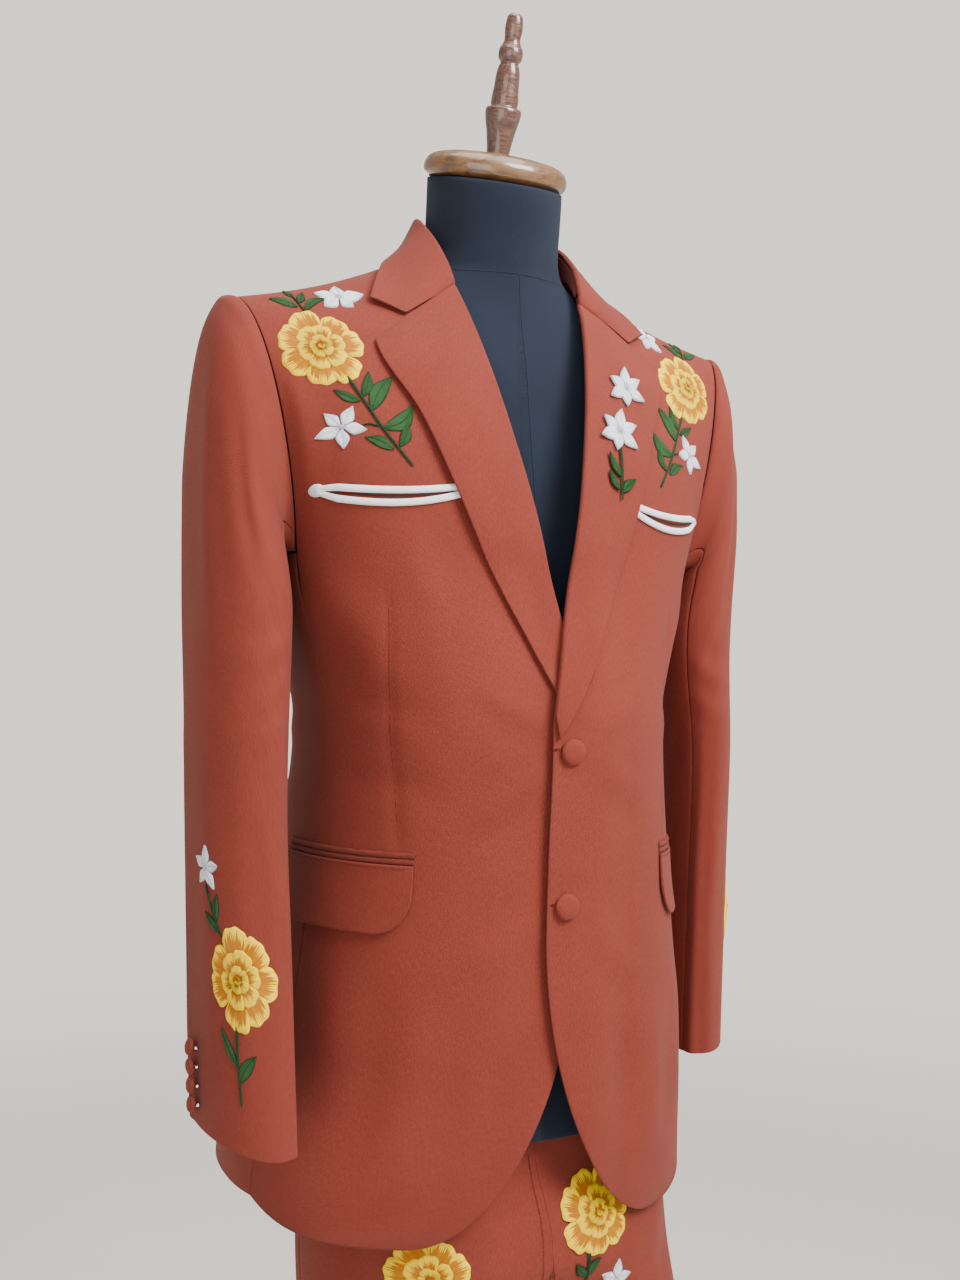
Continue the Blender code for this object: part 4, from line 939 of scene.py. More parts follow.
def wave(tree, turns):
    """Sine of a number of turns, from 0 to 1."""
    swing = calc(tree, "SINE", calc(tree, "MULTIPLY", turns, 2 * pi))
    return calc(tree, "MULTIPLY_ADD", swing, 0.5, 0.5)


def cut_spot(tree):
    """Place on the cut cloth or stitched patch: both lengths together, across, and down."""
    uv = node(tree, "ShaderNodeUVMap", uv_map="cut").outputs[0]
    split = node(tree, "ShaderNodeSeparateXYZ", {0: uv})
    return uv, split.outputs[0], split.outputs[1]


def ramp(tree, factor, low, high):
    """Maps factor from low..high to 0..1, softly."""
    inputs = {0: factor, 1: low, 2: high}
    return node(tree, "ShaderNodeMapRange", inputs, interpolation_type="SMOOTHSTEP").outputs[0]


def new_group(name, inputs, outputs):
    """Node group with named float inputs and outputs, and its two end nodes."""
    tree = bpy.data.node_groups.new(name, "ShaderNodeTree")
    for label, value in inputs:
        socket = tree.interface.new_socket(label, in_out="INPUT", socket_type="NodeSocketFloat")
        socket.default_value = value
    for label in outputs:
        tree.interface.new_socket(label, in_out="OUTPUT", socket_type="NodeSocketFloat")
    return tree, tree.nodes.new("NodeGroupInput"), tree.nodes.new("NodeGroupOutput")


def weave_group():
    """Fine twill ribs with slubs and mottle, laid along the cut lengths."""
    if "Twill weave" in bpy.data.node_groups:
        return bpy.data.node_groups["Twill weave"]
    inputs = (("Pitch", 0.0011), ("Slant", 1.0))
    tree, enter, leave = new_group("Twill weave", inputs, ("Height", "Shade", "Mottle"))
    uv, across, down = cut_spot(tree)
    slanted = calc(tree, "ADD", across, calc(tree, "MULTIPLY", down, enter.outputs["Slant"]))
    rib = wave(tree, calc(tree, "DIVIDE", slanted, enter.outputs["Pitch"]))
    yarn = noise(tree, stretched(tree, uv, (900.0, 260.0, 1.0)), 1.0, 2.0)
    slub = noise(tree, stretched(tree, uv, (60.0, 420.0, 1.0)), 1.0, 3.0)
    height = calc(tree, "MULTIPLY_ADD", yarn, 0.55, calc(tree, "MULTIPLY", rib, 0.45))
    shade = calc(tree, "MULTIPLY_ADD", slub, 0.15, calc(tree, "MULTIPLY", yarn, 0.85))
    feed(tree, leave, {"Height": height, "Shade": shade, "Mottle": noise(tree, uv, 14.0, 4.0)})
    return tree


def satin_group():
    """Rows of satin stitch: threads along the patch, or leaning away from its middle."""
    if "Satin stitch" in bpy.data.node_groups:
        return bpy.data.node_groups["Satin stitch"]
    inputs = (("Threads", 24.0), ("Lean", 0.0))
    tree, enter, leave = new_group("Satin stitch", inputs, ("Height", "Gloss", "Fray"))
    lean = enter.outputs["Lean"]
    uv, across, down = cut_spot(tree)
    side = calc(tree, "ABSOLUTE", calc(tree, "SUBTRACT", across, 0.5))
    leaning = calc(tree, "MULTIPLY_ADD", side, lean, down)
    upright = calc(tree, "MULTIPLY", across, calc(tree, "LESS_THAN", lean, 0.001))
    slanted = calc(tree, "MULTIPLY", leaning, calc(tree, "GREATER_THAN", lean, 0.001))
    run = calc(tree, "MULTIPLY_ADD", noise(tree, uv, 9.0, 2.0), 0.012, calc(tree, "ADD", upright, slanted))
    run = calc(tree, "MULTIPLY", run, enter.outputs["Threads"])
    rib = wave(tree, run)
    number = calc(tree, "FLOOR", run)
    fray = node(tree, "ShaderNodeTexWhiteNoise", {"W": number}, noise_dimensions="1D").outputs["Value"]
    gloss = calc(tree, "MULTIPLY_ADD", fray, 0.5, calc(tree, "MULTIPLY", rib, 0.5))
    feed(tree, leave, {"Height": rib, "Gloss": gloss, "Fray": fray})
    return tree


def grain_group():
    """Long wood grain with darker pores, in object space."""
    if "Wood grain" in bpy.data.node_groups:
        return bpy.data.node_groups["Wood grain"]
    tree, enter, leave = new_group("Wood grain", (("Rings", 3.0), ("Swirl", 2.0)), ("Grain", "Pores"))
    place = node(tree, "ShaderNodeTexCoord").outputs["Object"]
    scaled = stretched(tree, place, (26.0, 90.0, 150.0))
    wander = noise(tree, scaled, 0.55, 4.0, Distortion=enter.outputs["Swirl"])
    bands = calc(tree, "FRACT", calc(tree, "MULTIPLY", wander, enter.outputs["Rings"]))
    grain = calc(tree, "MULTIPLY", calc(tree, "PINGPONG", bands, 0.5), 2.0)
    pores = ramp(tree, noise(tree, scaled, 5.0, 2.0), 0.56, 0.7)
    feed(tree, leave, {"Grain": grain, "Pores": pores})
    return tree


def new_finish(name):
    finish = bpy.data.materials.new(name)
    finish.use_nodes = True
    tree = finish.node_tree
    return finish, tree, tree.nodes["Principled BSDF"]


def bumped(tree, height, distance):
    return node(tree, "ShaderNodeBump", {"Height": height, "Distance": distance, "Strength": 1.0}).outputs[0]


def shaded(color, share):
    """A darker or lighter tone of a colour."""
    return tuple(channel * share for channel in color) + (1.0,)


def woven_finish(name, color, pitch, sheen, rough, relief, tint=(1.0, 0.8, 0.72, 1.0)):
    """Woven cloth: pitch and relief of its ribs, weight and tint of its sheen, lowest roughness."""
    if name in bpy.data.materials:
        return bpy.data.materials[name]
    finish, tree, shader = new_finish(name)
    weave = node(tree, "ShaderNodeGroup", {"Pitch": pitch}, node_tree=weave_group())
    shade = ramp(tree, weave.outputs["Shade"], 0.3, 0.72)
    base = mix_color(tree, shade, shaded(color, 0.84), shaded(color, 1.13))
    cloud = ramp(tree, weave.outputs["Mottle"], 0.35, 0.65)
    base = mix_color(tree, cloud, base, mix_color(tree, 1.0, base, (0.93, 0.9, 0.9, 1.0), "MULTIPLY"))
    feed(tree, shader, {
        "Base Color": base,
        "Roughness": calc(tree, "MULTIPLY_ADD", weave.outputs["Shade"], 0.12, rough),
        "Sheen Weight": sheen,
        "Sheen Roughness": 0.45,
        "Sheen Tint": tint,
        "Specular IOR Level": 0.25,
        "Normal": bumped(tree, weave.outputs["Height"], relief),
    })
    return finish


def rust_twill():
    color = tuple(settings().cloth_color)
    return woven_finish("rust twill", color, 0.0012, 0.05, 0.8, 0.00024)


def thread_finish(name, threads, lean, shades, split=None, relief=0.00035):
    """Satin stitch in one or two shades; split is where along the patch the inner shade ends."""
    if name in bpy.data.materials:
        return bpy.data.materials[name]
    finish, tree, shader = new_finish(name)
    satin = node(tree, "ShaderNodeGroup", {"Threads": threads, "Lean": lean}, node_tree=satin_group())
    outer, inner = shades
    tone = satin.outputs["Fray"]
    light = mix_color(tree, tone, shaded(outer, 0.84), shaded(outer, 1.08))
    deep = mix_color(tree, tone, shaded(inner, 0.74), shaded(inner, 1.16))
    across, down = cut_spot(tree)[1:]
    flank = calc(tree, "ABSOLUTE", calc(tree, "SUBTRACT", across, 0.5))
    if split is None:
        # Second shade round the edges and along the middle of each patch; in the star thread it is painted
        # shade
        rib = calc(tree, "SUBTRACT", 1.0, ramp(tree, flank, 0.02, 0.06))
        share = calc(tree, "MAXIMUM", ramp(tree, flank, 0.36, 0.46), calc(tree, "MULTIPLY", rib, 0.7))
    else:
        border = calc(tree, "MULTIPLY_ADD", calc(tree, "POWER", flank, 3.0), 2.2, down)
        jag = calc(tree, "MULTIPLY_ADD", tone, 0.26, calc(tree, "SUBTRACT", border, 0.13))
        share = calc(tree, "SUBTRACT", 1.0, ramp(tree, jag, split - 0.1, split + 0.05))
    feed(tree, shader, {
        "Base Color": mix_color(tree, share, light, deep),
        "Roughness": calc(tree, "MULTIPLY_ADD", satin.outputs["Gloss"], -0.18, 0.58),
        "Specular IOR Level": 0.16,
        "Normal": bumped(tree, satin.outputs["Height"], relief),
    })
    return finish


def petal_thread():
    suit = settings()
    shades = (tuple(suit.petal_light), tuple(suit.petal_deep))
    return thread_finish("petal thread", 34.0, 0.0, shades, split=0.8)


def star_thread():
    # The second, lavender colour is painted shade along each petal's folded midrib and round its edges
    suit = settings()
    return thread_finish("star thread", 26.0, 0.55, (tuple(suit.star_color), (0.6, 0.65, 0.84)))


def leaf_thread():
    suit = settings()
    return thread_finish("leaf thread", 30.0, 0.6, (tuple(suit.leaf_color), tuple(suit.leaf_edge)))


def stem_thread():
    suit = settings()
    return thread_finish("stem thread", 3.0, 2.2, (tuple(suit.leaf_edge), tuple(suit.leaf_color)))


def seam_thread_and_groove_shade():
    # Cloth colour darkened: the thread of real stitches, and painted shade where it lines the darts' seam
    # grooves
    color = shaded(tuple(settings().cloth_color), 0.42)[:3]
    return thread_finish("seam thread", 6.0, 1.4, (color, color), relief=0.0001)


def pocket_shade_finish():
    # Near-black sheet: painted shade inside the open mouth of a pocket
    return woven_finish("pocket lining", (0.03, 0.012, 0.01), 0.0009, 0.0, 0.9, 0.00008)


def piping_cloth():
    return woven_finish("white piping", (0.83, 0.83, 0.87), 0.0009, 0.1, 0.62, 0.00015, (1, 1, 1, 1))


def jersey_cloth():
    tint = (0.55, 0.68, 0.9, 1)
    return woven_finish("navy jersey", (0.0045, 0.0086, 0.02), 0.0008, 0.08, 0.82, 0.00018, tint)


def jersey_seam():
    tint = (0.5, 0.6, 0.8, 1)
    return woven_finish("jersey seam", (0.006, 0.01, 0.02), 0.0008, 0.1, 0.85, 0.0001, tint)


def lacquered_wood(name, light, dark, rings, swirl):
    """Turned wood under a clear coat, light and dark colours along its grain."""
    if name in bpy.data.materials:
        return bpy.data.materials[name]
    finish, tree, shader = new_finish(name)
    grain = node(tree, "ShaderNodeGroup", {"Rings": rings, "Swirl": swirl}, node_tree=grain_group())
    base = mix_color(tree, grain.outputs["Grain"], (*dark, 1.0), (*light, 1.0))
    base = mix_color(tree, calc(tree, "MULTIPLY", grain.outputs["Pores"], 0.55), base, shaded(dark, 0.45))
    feed(tree, shader, {
        "Base Color": base,
        "Roughness": calc(tree, "MULTIPLY_ADD", grain.outputs["Grain"], 0.1, 0.3),
        "Coat Weight": 0.7,
        "Coat Roughness": 0.09,
        "Normal": bumped(tree, grain.outputs["Pores"], -0.00008),
    })
    return finish


def honey_wood():
    return lacquered_wood("honey wood", (0.17, 0.078, 0.024), (0.074, 0.031, 0.01), 3.0, 1.2)


def turned_wood():
    return lacquered_wood("turned wood", (0.135, 0.053, 0.029), (0.042, 0.0145, 0.0095), 5.0, 3.0)


def stand_steel():
    if "stand steel" in bpy.data.materials:
        return bpy.data.materials["stand steel"]
    finish, tree, shader = new_finish("stand steel")
    place = node(tree, "ShaderNodeTexCoord").outputs["Object"]
    brushed = noise(tree, stretched(tree, place, (1400.0, 1400.0, 8.0)), 1.0, 2.0)
    handled = noise(tree, place, 9.0, 5.0)
    base = mix_color(tree, brushed, (0.42, 0.42, 0.43, 1.0), (0.6, 0.6, 0.6, 1.0))
    rough = calc(tree, "MULTIPLY_ADD", handled, 0.18, calc(tree, "MULTIPLY_ADD", brushed, 0.12, 0.22))
    normal = bumped(tree, brushed, 0.00004)
    feed(tree, shader, {"Base Color": base, "Metallic": 1.0, "Roughness": rough, "Normal": normal})
    return finish


def polished_metal():
    if "shank metal" in bpy.data.materials:
        return bpy.data.materials["shank metal"]
    finish, tree, shader = new_finish("shank metal")
    place = node(tree, "ShaderNodeTexCoord").outputs["Object"]
    smudge = noise(tree, place, 700.0, 2.0)
    rough = calc(tree, "MULTIPLY_ADD", smudge, 0.12, 0.12)
    feed(tree, shader, {"Base Color": (0.82, 0.82, 0.84, 1.0), "Metallic": 1.0, "Roughness": rough})
    return finish


# Pieces of the jacket

def front_grid(side):
    """Face points of a front, from its hem over the chest to the shoulder."""
    u = np.linspace(0, 1, 76)[None, :]
    level_in, level_out = mix(HEM_FRONT, CHEST, LOW_ROWS), mix(HEM_SIDE, CHEST, LOW_ROWS)
    turn_in = turn_of(edge_x(level_in), level_in)
    low = body(mix(turn_in, FRONT_SEAM - BODY_GAP, u), mix(level_in, level_out, u * u))
    high = upper_front(mix(patch_edge(HIGH_ROWS), 1.0, u), HIGH_ROWS)
    grid = ease_row(np.concatenate([low, high]), len(LOW_ROWS))
    return worn(raised(grid, FORE, front_rise(grid[..., 0], grid[..., 2], side)), side)


def side_grid(side):
    """Face points of a side body, from its hem to the underarm."""
    ends = np.linspace(0, 1, 40)[None, :]
    turns = np.linspace(FRONT_SEAM + BODY_GAP, BACK_SEAM - BODY_GAP, 40)[None, :]
    grid = body(turns, mix(HEM_SIDE, CHEST, LOW_ROWS) + 0 * turns)
    rise = creases_on(grid, SIDE_CREASES[side]) * smooth(ends / 0.15) * smooth((1 - ends) / 0.15)
    return worn(raised(grid, (1, 0, 0), rise), side)


def back_grid(side):
    """Face points of a back, from its hem to the shoulder and the neck."""
    cols, rows = 60, len(LOW_ROWS)
    u = np.linspace(0, 1, cols)[None, :]
    level = mix(HEM_SIDE, CHEST, LOW_ROWS)
    low = body(mix(CENTRE_BACK, BACK_SEAM + BODY_GAP, u), level + 0 * u)
    high = upper_back(mix(0.0008, 1.0, u), HIGH_ROWS)
    grid = ease_row(np.concatenate([low, high]), rows)
    inner = grid[rows:-2].swapaxes(0, 1)
    grid[rows:-2] = ease_row(inner, int(NECK_SHARE * cols), 8, 30).swapaxes(0, 1)
    grid = raised(grid, (0, 1, 0), creases_on(grid, BACK_CREASES[side]) * smooth((1 - u) / 0.1))
    grid[:, 0, 0] = SEAM / 2
    return worn(grid, side)


def ease_row(grid, row, reach=7, times=24):
    """Evens out the fold where the chest patch meets the body sections."""
    for _ in range(times):
        part = grid[row - reach:row + reach + 1]
        part[1:-1] = 0.5 * part[1:-1] + 0.25 * (part[:-2] + part[2:])
        grid[row - reach:row + reach + 1] = part
    return grid


def build_fronts():
    thick = settings().cloth_thickness
    for side in SIDES:
        sew("front_cloth_" + side, "jacket_front_" + side, front_grid(side), FORE, thick)
    # Each dart's seam is drawn as a thin dark cord: painted shade along its groove
    darts = Patchwork()
    for side in SIDES:
        level = np.linspace(*DART_SHADE_LINE, 60)
        x = dart_x(level)
        path = cloth_at(x, level, -0.00012, side)
        darts.add_cord(path, path - cloth_at(x, level, -0.01, side), 0.00032, 0.00022, 6)
    fit(darts.make("dart_seam_shade", seam_thread_and_groove_shade()))


def build_sides_and_backs():
    thick = settings().cloth_thickness
    for side in SIDES:
        outward = (-1 if side == "right" else 1, 0, 0)
        sew("side_cloth_" + side, "jacket_side_" + side, side_grid(side), outward, thick)
        sew("back_cloth_" + side, "jacket_back_" + side, back_grid(side), (0, 1, 0), thick)


def lapel_spots(q, w):
    """x and level over the lapel: q from its lower end to the gorge, w from roll to edge."""
    fold = mix(BREAK + 0.004, GORGE[1], q)
    edge = mix(LAPEL_EDGE[0, 0], LAPEL_EDGE[-1, 0], q)
    x = mix(roll_x(fold), read(LAPEL_EDGE, edge)[0], w)
    level = mix(fold, edge, w)
    gorge = np.linalg.norm(NOTCH - GORGE)
    share = gorge / (gorge + np.linalg.norm(LAPEL_TIP - NOTCH))
    near = between(GORGE, NOTCH, w / share)
    far = between(NOTCH, LAPEL_TIP, (w - share) / (1 - share))
    bent = np.where((w < share)[..., None], near, far) - between(GORGE, LAPEL_TIP, w)
    pull = smooth((q - 0.7) / 0.3)
    return x + bent[..., 0] * pull, level + bent[..., 1] * pull


def with_roll(grid, normals, steps=7, reach=2.6):
    """Adds columns that roll over the fold at the grid's first column and turn under."""
    inward = unit(grid[:, 0] - grid[:, 1])
    columns = []
    for a in np.linspace(reach, 0, steps + 1)[:-1]:
        columns.append(grid[:, 0] + (inward * sin(a) - normals[:, 0] * (1 - cos(a))) * ROLL_RADIUS)
    return np.concatenate([np.stack(columns, axis=1), grid], axis=1)


def build_lapels():
    thick = settings().turned_thickness
    q, w = np.meshgrid(np.linspace(0, 1, 90), np.linspace(0, 1, 44), indexing="ij")
    x, level = lapel_spots(q, w)
    fold = mix(BREAK, GORGE[1], q)
    kept = smooth((fold - BREAK - 0.06) / 0.1) * smooth((GORGE[1] - fold) / 0.05)
    belly = LAPEL_BELLY * np.sin(pi * w) * kept
    spring = 0.0022 * (1 - w)**1.5 * np.sin(pi * np.clip(q * 1.6, 0, 1))
    flare = 0.0022 * smooth((w - 0.5) / 0.5) * np.sin(pi * q)**0.5
    for side, phase in (("left", 0.5), ("right", 2.1)):
        ripple = 0.0006 * np.sin(9 * q + phase) * smooth(w * 2)
        grid = front_at(x, level, lap_lift(x, side) + LAPEL_LIFT + belly + spring + flare + ripple + thick)
        grid = worn(with_roll(grid, grid_normals(grid, FORE)), side)
        sew("lapel_cloth_" + side, "lapel_" + side, grid, FORE, TURNED_WALL, TURNED_EDGE, "folded",
            ["jacket_front_" + side])


def collar_spots(p, w):
    """Point of the collar's fall: p from nape to gorge, w from fold to edge."""
    p, w = np.broadcast_arrays(np.asarray(p, float), w)
    v = read(COLLAR, p)
    fold, edge = np.moveaxis(v[:3], 0, -1), np.moveaxis(v[3:], 0, -1)
    base = between(fold, edge, w)
    bow = unit(stack(4.4 * base[..., 0], 0, 1))
    base = base + bow * (COLLAR_BOW * np.sin(pi * w))[..., None]
    along = np.clip(w / GORGE_SHARE, 0, 1)
    spot = between(GORGE, NOTCH, along) + (0.0006, 0.0012)
    seam = front_at(spot[..., 0], spot[..., 1], LAPEL_LIFT + 0.0004)
    tail = np.clip((w - GORGE_SHARE) / (1 - GORGE_SHARE), 0, 1)
    seam = np.where((w > GORGE_SHARE)[..., None], between(seam, 0, tail) + edge * tail[..., None], seam)
    share = smooth((p - 0.72) / 0.28)
    return between(base, 0, share) + seam * share[..., None]


def both_halves(half):
    """The whole collar from its left half, settled as it is worn."""
    return settle(np.concatenate([(half * (-1, 1, 1))[::-1], half[1:]]))


def stand_foot(p):
    """Foot of the collar's stand along the neck, then down the fronts' roll lines."""
    k = p / NECK_END
    t = np.clip(1 - (k - 1) / (STAND_END / NECK_END - 1) * 0.24, 0, 1)
    on_front = upper_front(np.maximum(patch_edge(t), 0), t)
    foot = np.where((k <= 1)[:, None], neck_curve(np.clip(k, 0, 1)), on_front)
    return foot + (-0.0012, 0, SEAM + 0.0012)


def build_collar():
    suit = settings()
    backs = ["jacket_back_left", "jacket_back_right"]
    full = both_halves(collar_spots(np.linspace(0, 1, 60)[:, None], np.linspace(0, 1, 34)[None, :]))
    outward = full - np.array([0, 0, -0.2])
    n = grid_normals(full, outward)
    grid = with_roll(full + n * suit.turned_thickness, n)
    sew("collar_fall_cloth", "collar_fall", grid, outward.mean(axis=(0, 1)), TURNED_WALL, TURNED_EDGE,
        "folded", backs)
    p = np.linspace(0, STAND_END, 50)
    fold = np.moveaxis(read(COLLAR, p)[:3], 0, -1)
    top = fold - unit(fold * (1, 0.8, 0)) * 0.0016 - (0, 0, 0.0024)
    foot = stand_foot(p)
    full = both_halves(np.stack([mix(foot, top, w) for w in np.linspace(0, 1, 10)], axis=1))
    sew("collar_stand_cloth", "collar_stand", full, full * (1, 1, 0), suit.cloth_thickness, 0.45,
        "folded", backs)


def sleeve_grid(part, angles, side):
    """Face points of the top or the under sleeve, and the line up the middle of the arm."""
    rows = np.concatenate([np.linspace(0, 3, 30)[:-1], np.linspace(3, len(SLEEVE) - 1, 84)])[:, None]
    turned = sleeve_columns(part, angles, rows)
    grid = sleeve_at(rows, turned, side)
    centre = (sleeve_at(rows, 0, side) + sleeve_at(rows, 180, side)) / 2
    rise = sleeve_rise(rows + 0 * turned, turned, side) * smooth(rows / 0.5 + 0.05)
    if part == "top":
        vent = smooth((angles - (SLEEVE_BACK_SEAM - 360) - 14) / -10)
        rise = rise + 0.0014 * vent * smooth((rows - 11.4) / 0.3)
    return worn(raised(grid, grid - centre, rise), side, "sleeve"), worn(centre, side, "sleeve")


def build_sleeves():
    thick = settings().cloth_thickness
    spans = {
        "top": np.linspace(SLEEVE_BACK_SEAM - 360 + SLEEVE_GAP, SLEEVE_FRONT_SEAM - SLEEVE_GAP, 72),
        "under": np.linspace(SLEEVE_FRONT_SEAM + SLEEVE_GAP, SLEEVE_BACK_SEAM - SLEEVE_GAP, 44),
    }
    for side in SIDES:
        for part, angles in spans.items():
            grid, centre = sleeve_grid(part, angles[None, :], side)
            names = part + "_sleeve_cloth_" + side, part + "_sleeve_" + side
            sew(*names, grid, grid - centre, thick)


# Pockets

def pocket_level(x, side, bend=1.0):
    """Centre line of the smile pocket: low in the middle, up at both ends."""
    inner, outer, end_level, dip = POCKET[side]
    share = (x - (inner + outer) / 2) / ((outer - inner) / 2)
    return end_level - bend * dip * (1 - share**2)


def build_chest_pockets():
    for side in SIDES:
        build_smile_pocket(side)


def build_smile_pocket(side):
    """Two covered cords round a slit of painted shade, tacked with a worked end."""
    inner, outer = POCKET[side][:2]
    run_on, wide, tall = (0.0105, 0.0046, 0.0052) if side == "right" else (0.0075, 0.0036, 0.004)
    x = np.linspace(inner - run_on, outer, 80)
    ends = np.clip((outer - x) / 0.014, 0.0, 1.0)
    pocket = Patchwork()
    for sign, bend in ((1, 0.55), (-1, 1.0)):
        level = pocket_level(x, side, bend) + sign * 0.0036 * ends**0.6
        path = cloth_at(x, level, 0.0007, side)
        n = unit(cloth_at(x, level, 0.01, side) - path)
        pocket.add_cord(path, n, 0.0028 * (0.75 + 0.25 * ends), 0.0017 * (0.7 + 0.3 * ends), 14)
    fit(pocket.make("chest_pocket_cords_" + side, piping_cloth()), ["chest_piping_" + side])
    # The slit strip is painted shade: a near-black sheet where the pocket's mouth opens between the cords
    slit = Patchwork()
    strip = x[4:-4]
    xs = np.stack([strip] * 5, axis=1)
    half = 0.0003 + 0.0006 * np.sin(pi * np.linspace(0, 1, len(strip)))[:, None]
    levels = pocket_level(xs, side, 0.72) + half * np.linspace(-1, 1, 5)[None, :]
    slit.add_grid(cloth_at(xs, levels, 0.0003, side), stack(xs, levels), FORE)
    fit(slit.make("chest_pocket_slit_" + side, pocket_shade_finish()))
    end_x = outer - 0.001
    end_level = pocket_level(np.float64(end_x), side)

    def place(a, b, out):
        return cloth_at(end_x + a, end_level + b, out, side)
    fit(bar_tack("chest_pocket_tack_" + side, place, wide, tall))


def bar_tack(name, place, half_width, half_height):
    """Raised oval of satin stitch over the end of a pocket."""
    r = np.linspace(0, 1, 9)[:, None]
    turns = np.linspace(0, 2 * pi, 29)[None, :]
    across, up = r * np.cos(turns), r * np.sin(turns)
    out = 0.0026 * np.sqrt(np.maximum(1 - r**2, 0)) + 0.0 * turns
    out = np.where(r > 0.99, -0.0005, out)
    tack = Patchwork()
    tack.add_grid(place(half_width * across, half_height * up, out),
                  stack(0.5 + 0.35 * across, 0.5 + 0.5 * up), FORE)
    return tack.make(name, star_thread())


def rounded(away, radius):
    """Rise of a rounded corner at a distance in from its end."""
    return radius - np.sqrt(np.maximum(radius**2 - np.maximum(radius - away, 0)**2, 0))


def flap_low(turn):
    """Lower edge of the hip flap, rounded at its front and a little at its back."""
    ahead = np.radians(turn - FLAP_TURN_IN) * FLAP_RADIUS
    behind = np.radians(FLAP_TURN_OUT - turn) * FLAP_RADIUS
    return FLAP_LOW + rounded(ahead, FLAP_CORNER) + rounded(behind, FLAP_CORNER / 2)


def hip_cloth(turn, level, out, side):
    """Point over the front at the hip, at a turn in degrees from the centre front."""
    rise = creases_on(body(turn, level), FRONT_CREASES[side])
    return worn(body_out(turn, level, out + rise), side)


def build_hip_pockets():
    for side in SIDES:
        build_hip_pocket(side)


def build_hip_pocket(side):
    """Flap with its rounded corner, two welts over it and a row of stitches under them."""
    thick = settings().turned_thickness
    outward = (-0.6 if side == "right" else 0.6, -0.8, 0)
    line = FLAP_TURN_IN + (FLAP_TURN_OUT - FLAP_TURN_IN) * np.linspace(0, 1, 70)**1.25
    turns = line[None, :]
    w = np.linspace(0, 1, 26)[:, None]
    lift = 0.0006 + 0.0014 * w + 0.0007 * np.sin(pi * w) * np.sin(2.5 * turns / 30)
    grid = hip_cloth(turns + 0 * w, mix(JET_LOW - SEAM, flap_low(turns), w), lift + thick, side)
    sew("hip_flap_cloth_" + side, "hip_flap_" + side, grid, outward, thick, TURNED_EDGE, "hung",
        ["jacket_front_" + side])
    welts = Patchwork()
    for low, high in WELTS:
        level = np.full(line.shape, (low + high) / 2)
        path = hip_cloth(line, level, 0.0006, side)
        welts.add_cord(path, unit(hip_cloth(line, level, 0.01, side) - path), (high - low) / 2, 0.0013, 12)
    fit(welts.make("hip_welts_" + side, rust_twill()), ["hip_jet_" + side])

    def stitched(k):
        turn = FLAP_TURN_IN + 1.5 + (FLAP_TURN_OUT - FLAP_TURN_IN - 3) * k
        return hip_cloth(turn, JET_LOW - 0.0028 + 0 * k, 0.0033, side)
    fit(stitch_run("flap_stitches_" + side, stitched, 44, 0.0019, 0.00022, outward))


def stitch_run(name, line, count, length, radius, outward):
    """Row of short stitches along line(k), k from 0 to 1."""
    run = Patchwork()
    shares = np.linspace(0, 1, 400)
    steps = run_of(line(shares))
    for middle in np.linspace(0, steps[-1], count + 2)[1:-1]:
        spots = [middle - length / 2, middle - length / 6, middle + length / 6, middle + length / 2]
        path = line(np.interp(spots, steps, shares))
        run.add_cord(path, outward, radius, radius, 6)
    return run.make(name, seam_thread_and_groove_shade())


# Buttons

BUTTON_OUTLINE = (
    (0.5, 0.0), (0.8, 0.02), (0.95, 0.14), (1.0, 0.3), (1.0, 0.44), (0.95, 0.6), (0.84, 0.76),
    (0.66, 0.89), (0.42, 0.97), (0.18, 1.0),
)


def covered_button(name, solid, centre, normal, radius, height):
    """Domed button covered in the suit's cloth, its face a little uneven."""
    normal = unit(np.asarray(normal, float))
    across = unit(np.cross(normal, (0, 0, 1)))
    up = np.cross(across, normal)

    def place(share, rise, turns):
        r = radius * share * (1 + 0.012 * np.sin(5 * turns + 1.0) * share)
        flat = np.outer(np.cos(turns) * r, across) + np.outer(np.sin(turns) * r, up)
        return centre + flat + normal * height * rise
    piece = lathe(name, fine_outline(BUTTON_OUTLINE, 3), place, rust_twill(), 48)
    points = np.array([v.co for v in piece.data.vertices]) - (0, 0, SHOULDER) - centre
    flat = stack(points @ across, points @ up)
    corners = np.empty(len(piece.data.loops), np.int32)
    piece.data.loops.foreach_get("vertex_index", corners)
    piece.data.uv_layers["cut"].data.foreach_set("uv", flat[corners].astype(np.float32).ravel())
    fit(piece, [solid])


def buttonhole(patches, x, level, half_length, count=26):
    """Purl of small thread loops round a slit in the left front."""
    share = np.linspace(0, 1, 5)
    for k in range(count):
        a = 2 * pi * k / count
        inner = np.array([x + (half_length - 0.0006) * cos(a), level + 0.0005 * sin(a)])
        outer = np.array([x + (half_length + 0.0004) * cos(a), level + 0.0017 * sin(a)])
        spots = between(inner, outer, share)
        path = cloth_at(spots[:, 0], spots[:, 1], 0.0001 + 0.0005 * np.sin(pi * share), "left")
        patches.add_cord(path, FORE, 0.00026, 0.00026, 6)


def cuff_button_rows(side):
    """Sleeve rows of the cuff buttons, by their height over the cuff's edge."""
    rows = np.linspace(9, len(SLEEVE) - 1, 120)
    heights = sleeve_at(rows, back_seam_at(rows) + CUFF_BUTTON_TURN, side)[:, 2]
    levels = heights[-1] + CUFF_BUTTON_RISE + CUFF_BUTTON_STEP * np.arange(CUFF_BUTTONS)
    return np.interp(-levels, -heights, rows)


